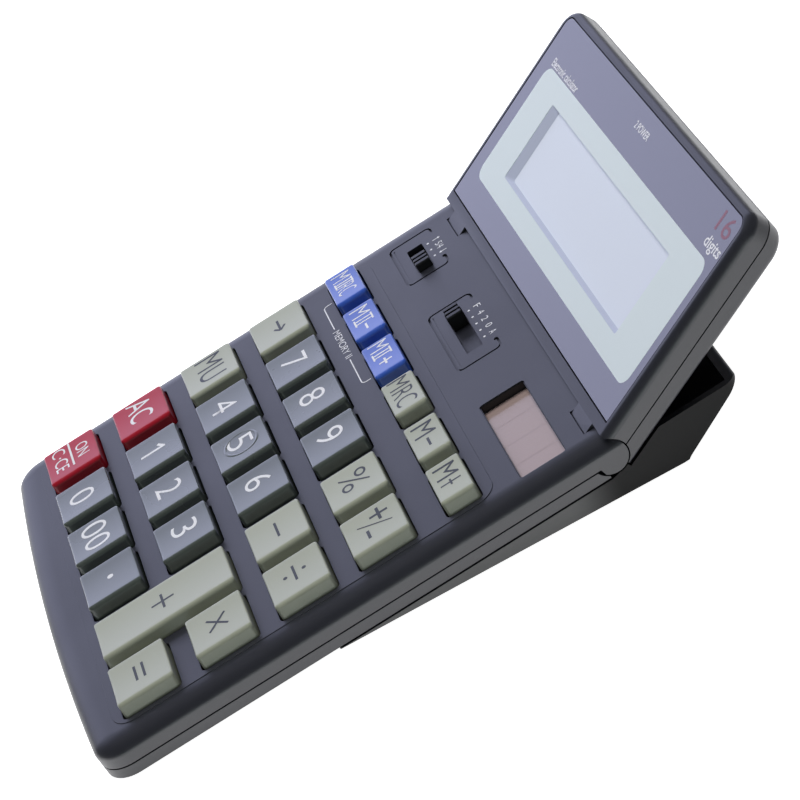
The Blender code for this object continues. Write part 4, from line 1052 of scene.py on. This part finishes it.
def roundFace(piece, level, radius, segments, foot):
    # rounds the rim of a face on all sides but its foot
    pickEdges(piece, lambda a, b: abs(a.z - level) < hair and abs(b.z - level) < hair
              and not (a.y < foot + hair and b.y < foot + hair))
    bevelPicked(radius, segments)


def makeDisplayShell():
    size = displaySize
    foot = size["foot"]
    shell = uprightBlock("displayShell", (-size["half"], foot, size["seam"] + size["seamGap"] / 2),
                         (size["half"], size["height"], size["front"]), size["corner"], cornerSteps["large"])
    roundFace(shell, size["front"], size["rim"], 10, foot)
    boolean(shell, block("below", (-pastSide, -pastTop, -pastTop), (pastSide, 0, pastTop)))
    # between the knuckles the foot keeps clear of the case
    halfKnuckle = hinge["knuckle"] / 2
    stops = [-pastSide, *(middle + side * halfKnuckle for middle in hinge["knuckles"] for side in (-1, 1)), pastSide]
    for low, high in zip(stops[::2], stops[1::2]):
        boolean(shell, rod("saddle", hinge["nose"] + hinge["gap"], (low, 0, 0), (high, 0, 0), roundSides["saddle"]))
        boolean(shell, block("lip", (low, -pastTop, 0), (high, size["lip"], pastTop)))
    glass = glassSize
    half = glass["half"] + glass["gap"]
    boolean(shell, uprightBlock("seat", (-half, glass["low"] - glass["gap"], size["front"] - size["seatDepth"]),
                                (half, glass["high"] + glass["gap"], pastTop), glass["corner"] + glass["gap"]))
    gap = crystalSize["gap"]
    boolean(shell, block("crystalOpening", (crystalSize["low"][0] - gap, crystalSize["low"][1] - gap, -pastTop),
                         (crystalSize["high"][0] + gap, crystalSize["high"][1] + gap, pastTop)))
    boolean(shell, block("hollow", (*size["hollowLow"], -pastTop), (*size["hollowHigh"], size["hollowFront"])))
    for middle in hinge["knuckles"]:
        low, high = middle - halfKnuckle, middle + halfKnuckle
        boolean(shell, rod("barrel", hinge["nose"], (low, 0, 0), (high, 0, 0), roundSides["hinge"]), "UNION")
        boolean(shell, rod("bore", size["bore"], (low - mm, 0, 0), (high + mm, 0, 0), roundSides["bore"]))
    return shell


displayShell = makeDisplayShell()
soften(displayShell, displaySize["softEdge"])
settle(displayShell, displayFrame, "display", slateCase, ["display_bezel"])


def makeDisplayBack():
    size = displaySize
    back = uprightBlock("displayBack", (-size["half"], size["backStart"], size["back"]),
                        (size["half"], size["height"], size["seam"] - size["seamGap"] / 2), size["corner"],
                        cornerSteps["large"])
    # the top falls away to the rear
    pickFaces(back, lambda centre, normal: normal.z < -0.9)
    share = (size["height"] - size["backFall"] - size["backStart"]) / (size["height"] - size["backStart"])
    bpy.ops.transform.resize(value=(1, share, 1), center_override=(0, size["backStart"], size["back"]))
    bpy.ops.object.mode_set(mode="OBJECT")
    roundFace(back, size["back"], size["backRim"], cornerSteps["medium"], size["backStart"])
    boolean(back, rod("saddle", hinge["nose"] + hinge["gap"], (-pastSide, 0, 0), (pastSide, 0, 0),
                      roundSides["saddle"]))
    boolean(back, block("hollow", (*size["hollowLow"], size["hollowBack"]), (*size["hollowHigh"], pastTop)))
    return back


displayBack = makeDisplayBack()
soften(displayBack, displaySize["softEdge"])
settle(displayBack, displayFrame, "display", slateCase, ["display_cover"])
print("display shells ready")


def makeFrontPanel():
    size = glassSize
    panel = uprightBlock("frontPanel", (-size["half"], size["low"], size["bottom"]),
                         (size["half"], size["high"], size["top"]), size["corner"], cornerSteps["medium"])
    window, spare = screenSize, screenSize["spare"]
    boolean(panel, roundedBlock("window", (window["low"][0] - spare, window["low"][1] - spare, 0),
                                (window["high"][0] + spare, window["high"][1] + spare, pastTop),
                                window["corner"] + spare, cornerSteps["small"]))
    return panel


frontPanel = makeFrontPanel()
soften(frontPanel, glassSize["softEdge"])
settle(frontPanel, displayFrame, "display", panelPaint, ["display_panel"])


def makeScreenFrame():
    # the printed silver frame lies on the panel round the window
    size = screenSize
    level = glassSize["top"]
    frameRing = roundedBlock("screenFrame", (*size["frameLow"], level - size["plate"]),
                             (*size["frameHigh"], level + size["rise"]), size["frameCorner"], cornerSteps["wide"])
    return boolean(frameRing, roundedBlock("window", (*size["low"], 0), (*size["high"], pastTop), size["corner"],
                                           cornerSteps["small"]))


def makeWindowWall():
    # the sloped walls between the frame and the glass
    size = screenSize
    top = glassSize["top"] - size["plate"]
    bottom = glassSize["top"] - size["depth"]
    spare = size["spare"] * size["wallShare"]
    tube = roundedBlock("windowWall", (size["low"][0] - spare, size["low"][1] - spare, bottom),
                        (size["high"][0] + spare, size["high"][1] + spare, top), size["corner"] + spare,
                        cornerSteps["small"])
    funnel = roundedBlock("funnel", (*size["low"], bottom - size["lap"]), (*size["high"], top + size["lap"]),
                          size["corner"], cornerSteps["small"])
    middle = [(a + b) / 2 for a, b in zip(size["low"], size["high"])]
    for point in funnel.data.vertices:
        if point.co.z < bottom:
            point.co.x += size["slopeLow"][0] if point.co.x < middle[0] else -size["slopeHigh"][0]
            point.co.y += size["slopeLow"][1] if point.co.y < middle[1] else -size["slopeHigh"][1]
    return boolean(tube, funnel)


settle(makeScreenFrame(), displayFrame, "display", silverPaint, (), 40)
settle(makeWindowWall(), displayFrame, "display", wallPaint, (), 20)
crystal = block("liquidCrystal", crystalSize["low"],
                (*crystalSize["high"], glassSize["top"] - screenSize["depth"] - crystalSize["drop"]))
settle(crystal, displayFrame, "display", displayGlass, ["lcd"])

# text, place, height and width of what is printed on the panel
displayWords = (("Electronic calculator", (-52.4 * mm, 51.75 * mm), 2.4 * mm, 21.8 * mm),
                ("2 POWER", (2.35 * mm, 58.3 * mm), 2.1 * mm, 10.2 * mm),
                ("digits", (64.9 * mm, 53.2 * mm), 3.9 * mm, 9.8 * mm))
digitCount = ("16", (64.3 * mm, 59.2 * mm), 5.4 * mm, 8 * mm)
displayWeight = {"words": -0.012, "count": -0.002}
level = glassSize["top"] + printLift
displayPrints = [lettering("displayWord", *word, level, displayWeight["words"]) for word in displayWords]
settle(joinPieces(displayPrints, "displayPrint"), displayFrame, "display", whitePrint, (), 0)
settle(lettering("digitCount", *digitCount, level, displayWeight["count"]), displayFrame, "display", redPrint, (),
       0)
print("display ready")


# Stand with its open tray

standSize = {"start": 60 * mm, "slope": 4.15, "lip": 0.4 * mm, "top": -0.3 * mm, "end": 158.2 * mm, "rear": 178 * mm,
             "rim": 5.3 * mm, "wall": 2 * mm, "corner": 4 * mm, "edge": 1 * mm, "trayFront": 146.2 * mm,
             "rearWallShare": 1.4, "restGap": 0.06 * mm, "restStart": 0.55 * mm, "heelStart": 1 * mm,
             "heel": ((1.2 * mm, 0.75 * mm), (0.4 * mm, 0.1 * mm)), "roomFront": 9 * mm, "roomLow": 4.7 * mm,
             "roomGap": 2 * mm, "softEdge": 0.3 * mm}


def underZ(y):
    return -math.tan(math.radians(standSize["slope"])) * (y - standSize["start"])


def displayPoint(along, out):
    # side view of a point of the resting display
    angle = math.radians(displayStance["angle"])
    return (hinge["y"] + along * math.cos(angle) - out * math.sin(angle),
            hinge["z"] + along * math.sin(angle) + out * math.cos(angle))


def makeStand():
    size = standSize
    slope = math.radians(size["slope"])
    angle = math.radians(displayStance["angle"])
    start = size["start"] + size["lip"] / math.tan(slope)
    restOut = displaySize["back"] - size["restGap"]
    restAlong = (size["rim"] - hinge["z"] - restOut * math.cos(angle)) / math.sin(angle)
    side = [(start, underZ(start)), (start, size["top"]), (hinge["y"] - caseSize["baseStop"], size["top"])]
    side += arcPoints(hinge["y"], hinge["z"], hinge["nose"] + hinge["gap"], start=-90, end=-57, steps=8)
    side += [displayPoint(size["restStart"], restOut), displayPoint(restAlong, restOut)]
    side += arcPoints(size["rear"] - size["edge"], size["rim"] - size["edge"], size["edge"], start=90, end=10, steps=5)
    side += [(size["end"] + back, underZ(size["end"]) + rise) for back, rise in size["heel"]]
    heelStart = size["end"] - size["heelStart"]
    side += [(heelStart, underZ(heelStart))]
    half = caseSize["halfWidth"]
    stand = profileBlock("standShell", side, -half, half)
    outline = block("outline", (-half, -pastSide, -pastSide), (half, size["rear"], pastSide))
    pickEdges(outline, lambda a, b: abs(a.z - b.z) > hair and a.y > size["rear"] - hair)
    bevelPicked(size["corner"], cornerSteps["wide"])
    boolean(stand, outline, "INTERSECT")

    inner = half - size["wall"]
    rise = size["wall"] / math.cos(slope)
    back = size["rear"] - size["rearWallShare"] * size["wall"]
    hollow = [(size["trayFront"], underZ(size["trayFront"]) + rise), (heelStart, underZ(size["end"]) + rise),
              (back, size["rim"] - size["wall"]), (back, pastTop), (size["trayFront"], pastTop)]
    boolean(stand, profileBlock("trayHollow", hollow, -inner, inner))
    room = [(hinge["y"] - size["roomFront"], size["roomLow"])]
    room += arcPoints(hinge["y"], hinge["z"], hinge["nose"] + size["roomGap"], start=-125, end=20, steps=16)
    boolean(stand, profileBlock("swingRoom", room, -inner, inner))
    return stand


batterySize = {"y": 130.5 * mm, "well": 10.3 * mm, "doorWidth": 27 * mm, "doorDepth": 25 * mm, "thick": 1.1 * mm,
               "gap": 0.3 * mm, "nail": 4 * mm, "notchLow": (9.7 * mm, -3.3 * mm), "notchHigh": (11.1 * mm, 3.3 * mm),
               "barrelShare": 0.499, "grooves": 5, "grooveFirst": 3.2 * mm, "grooveStep": 1.5 * mm,
               "groove": 0.4 * mm, "grooveHalf": 4.5 * mm, "grooveSunk": 0.12 * mm, "softEdge": 0.1 * mm}
screwSize = {"x": 34 * mm, "y": 118 * mm, "hole": 1.5 * mm, "head": 2.7 * mm, "headRise": 2.1 * mm}
footSize = {"radius": 4.5 * mm, "inset": 16 * mm, "frontY": 14 * mm, "rearY": 150 * mm, "frontDrop": 1.3 * mm,
            "rearDrop": 1 * mm, "seat": 0.4 * mm, "edge": 0.4 * mm, "socket": 4.8 * mm, "socketRise": 1.7 * mm}
slopeFrame = (bodyFrame @ Matrix.Translation((0, batterySize["y"], underZ(batterySize["y"])))
              @ Matrix.Rotation(math.radians(-standSize["slope"]), 4, "X"))
slopeInBody = bodyFrame.inverted() @ slopeFrame


def sloped(piece):
    # from the frame of the sloping underside into the frame of the body
    return carry(piece, slopeInBody)


footPlaces = {}
for end, z in (("front", 0), ("rear", underZ(footSize["rearY"]))):
    for side, x in (("left", footSize["inset"] - caseSize["halfWidth"]),
                    ("right", caseSize["halfWidth"] - footSize["inset"])):
        footPlaces["foot_%s_%s" % (end, side)] = (x, footSize[end + "Y"], z - footSize[end + "Drop"])
uprightInBody = Matrix.Rotation(math.radians(-stance["lean"]), 4, "X")


def onFoot(piece, where):
    # feet stand upright on the desk, so they lean in the frame of the body
    return carry(piece, Matrix.Translation(where) @ uprightInBody)


def drillStand(stand):
    size = batterySize
    boolean(stand, sloped(rod("well", size["well"], (0, 0, -pastTop), (0, 0, pastTop))))
    halfX, halfY = size["doorWidth"] / 2 + size["gap"], size["doorDepth"] / 2 + size["gap"]
    boolean(stand, sloped(block("doorPocket", (-halfX, -halfY, -pastTop), (halfX, halfY, size["thick"] + size["gap"]))))
    boolean(stand, sloped(block("contactNotch", (*size["notchLow"], size["thick"]), (*size["notchHigh"], pastTop))))
    boolean(stand, sloped(rod("nailNotch", size["nail"], (0, size["doorDepth"] / 2, -pastTop),
                              (0, size["doorDepth"] / 2, size["thick"]), roundSides["small"])))
    y = screwSize["y"]
    for x in (-screwSize["x"], screwSize["x"]):
        boolean(stand, rod("screwHole", screwSize["hole"], (x, y, -pastTop), (x, y, pastTop), roundSides["bore"]))
        boolean(stand, rod("counterbore", screwSize["head"], (x, y, -pastTop),
                           (x, y, underZ(y) + screwSize["headRise"]), roundSides["small"]))
    for name, where in footPlaces.items():
        if "rear" in name:
            socket = rod("socket", footSize["socket"], (0, 0, -pastTop), (0, 0, footSize["socketRise"]),
                         roundSides["small"])
            boolean(stand, onFoot(socket, where))
    return stand


standShell = makeStand()
drillStand(standShell)
soften(standShell, standSize["softEdge"], 3, 40)
settle(standShell, bodyFrame, "case", standPlastic, ["stand"])
print("stand ready")


# Feet and battery door on the underside

for name, where in footPlaces.items():
    drop = footSize["frontDrop" if "front" in name else "rearDrop"]
    sole = rod(name.replace("foot_", "sole_"), footSize["radius"], (0, 0, 0), (0, 0, drop + footSize["seat"]))
    pickEdges(sole, lambda a, b: a.z < hair and b.z < hair)
    bevelPicked(footSize["edge"], cornerSteps["edge"])
    settle(onFoot(sole, where), bodyFrame, "case", soleRubber, [name])


def makeDoor():
    size = batterySize
    halfX, halfY = size["doorWidth"] / 2, size["doorDepth"] / 2
    door = block("batteryLid", (-halfX, -halfY, 0), (halfX, halfY, size["thick"]))
    pickEdges(door, lambda a, b: a.y < -halfY + hair and b.y < -halfY + hair and abs(a.x - b.x) > mm)
    bevelPicked(size["thick"] * size["barrelShare"], cornerSteps["usual"])
    grooves = []
    for i in range(size["grooves"]):
        y, z = size["grooveFirst"] + i * size["grooveStep"], -size["grooveSunk"]
        grooves.append(rod("gripGroove", size["groove"], (-size["grooveHalf"], y, z), (size["grooveHalf"], y, z),
                           roundSides["fine"]))
    boolean(door, joinPieces(grooves, "gripGrooves"))
    return sloped(door)


door = makeDoor()
soften(door, batterySize["softEdge"])
settle(door, bodyFrame, "battery_door", blackStand, ["battery_door"])
print("underside ready")


# Materials for the CAD nodes that stay

keptFinish = {
    "circuit_board": boardLacquer, "display_board": boardLacquer, "key_mat": soleRubber,
    "coin_cell": steelPart, "contact_negative": steelPart, "contact_positive": steelPart,
    "case_screw_left": steelPart, "case_screw_right": steelPart,
    "hinge_pin_left": steelPart, "hinge_pin_right": steelPart,
}
for name, node in nodes.items():
    finish = keptFinish.get(name)
    if finish:
        node.data.materials.clear()
        node.data.materials.append(finish)
print("kept pieces finished")
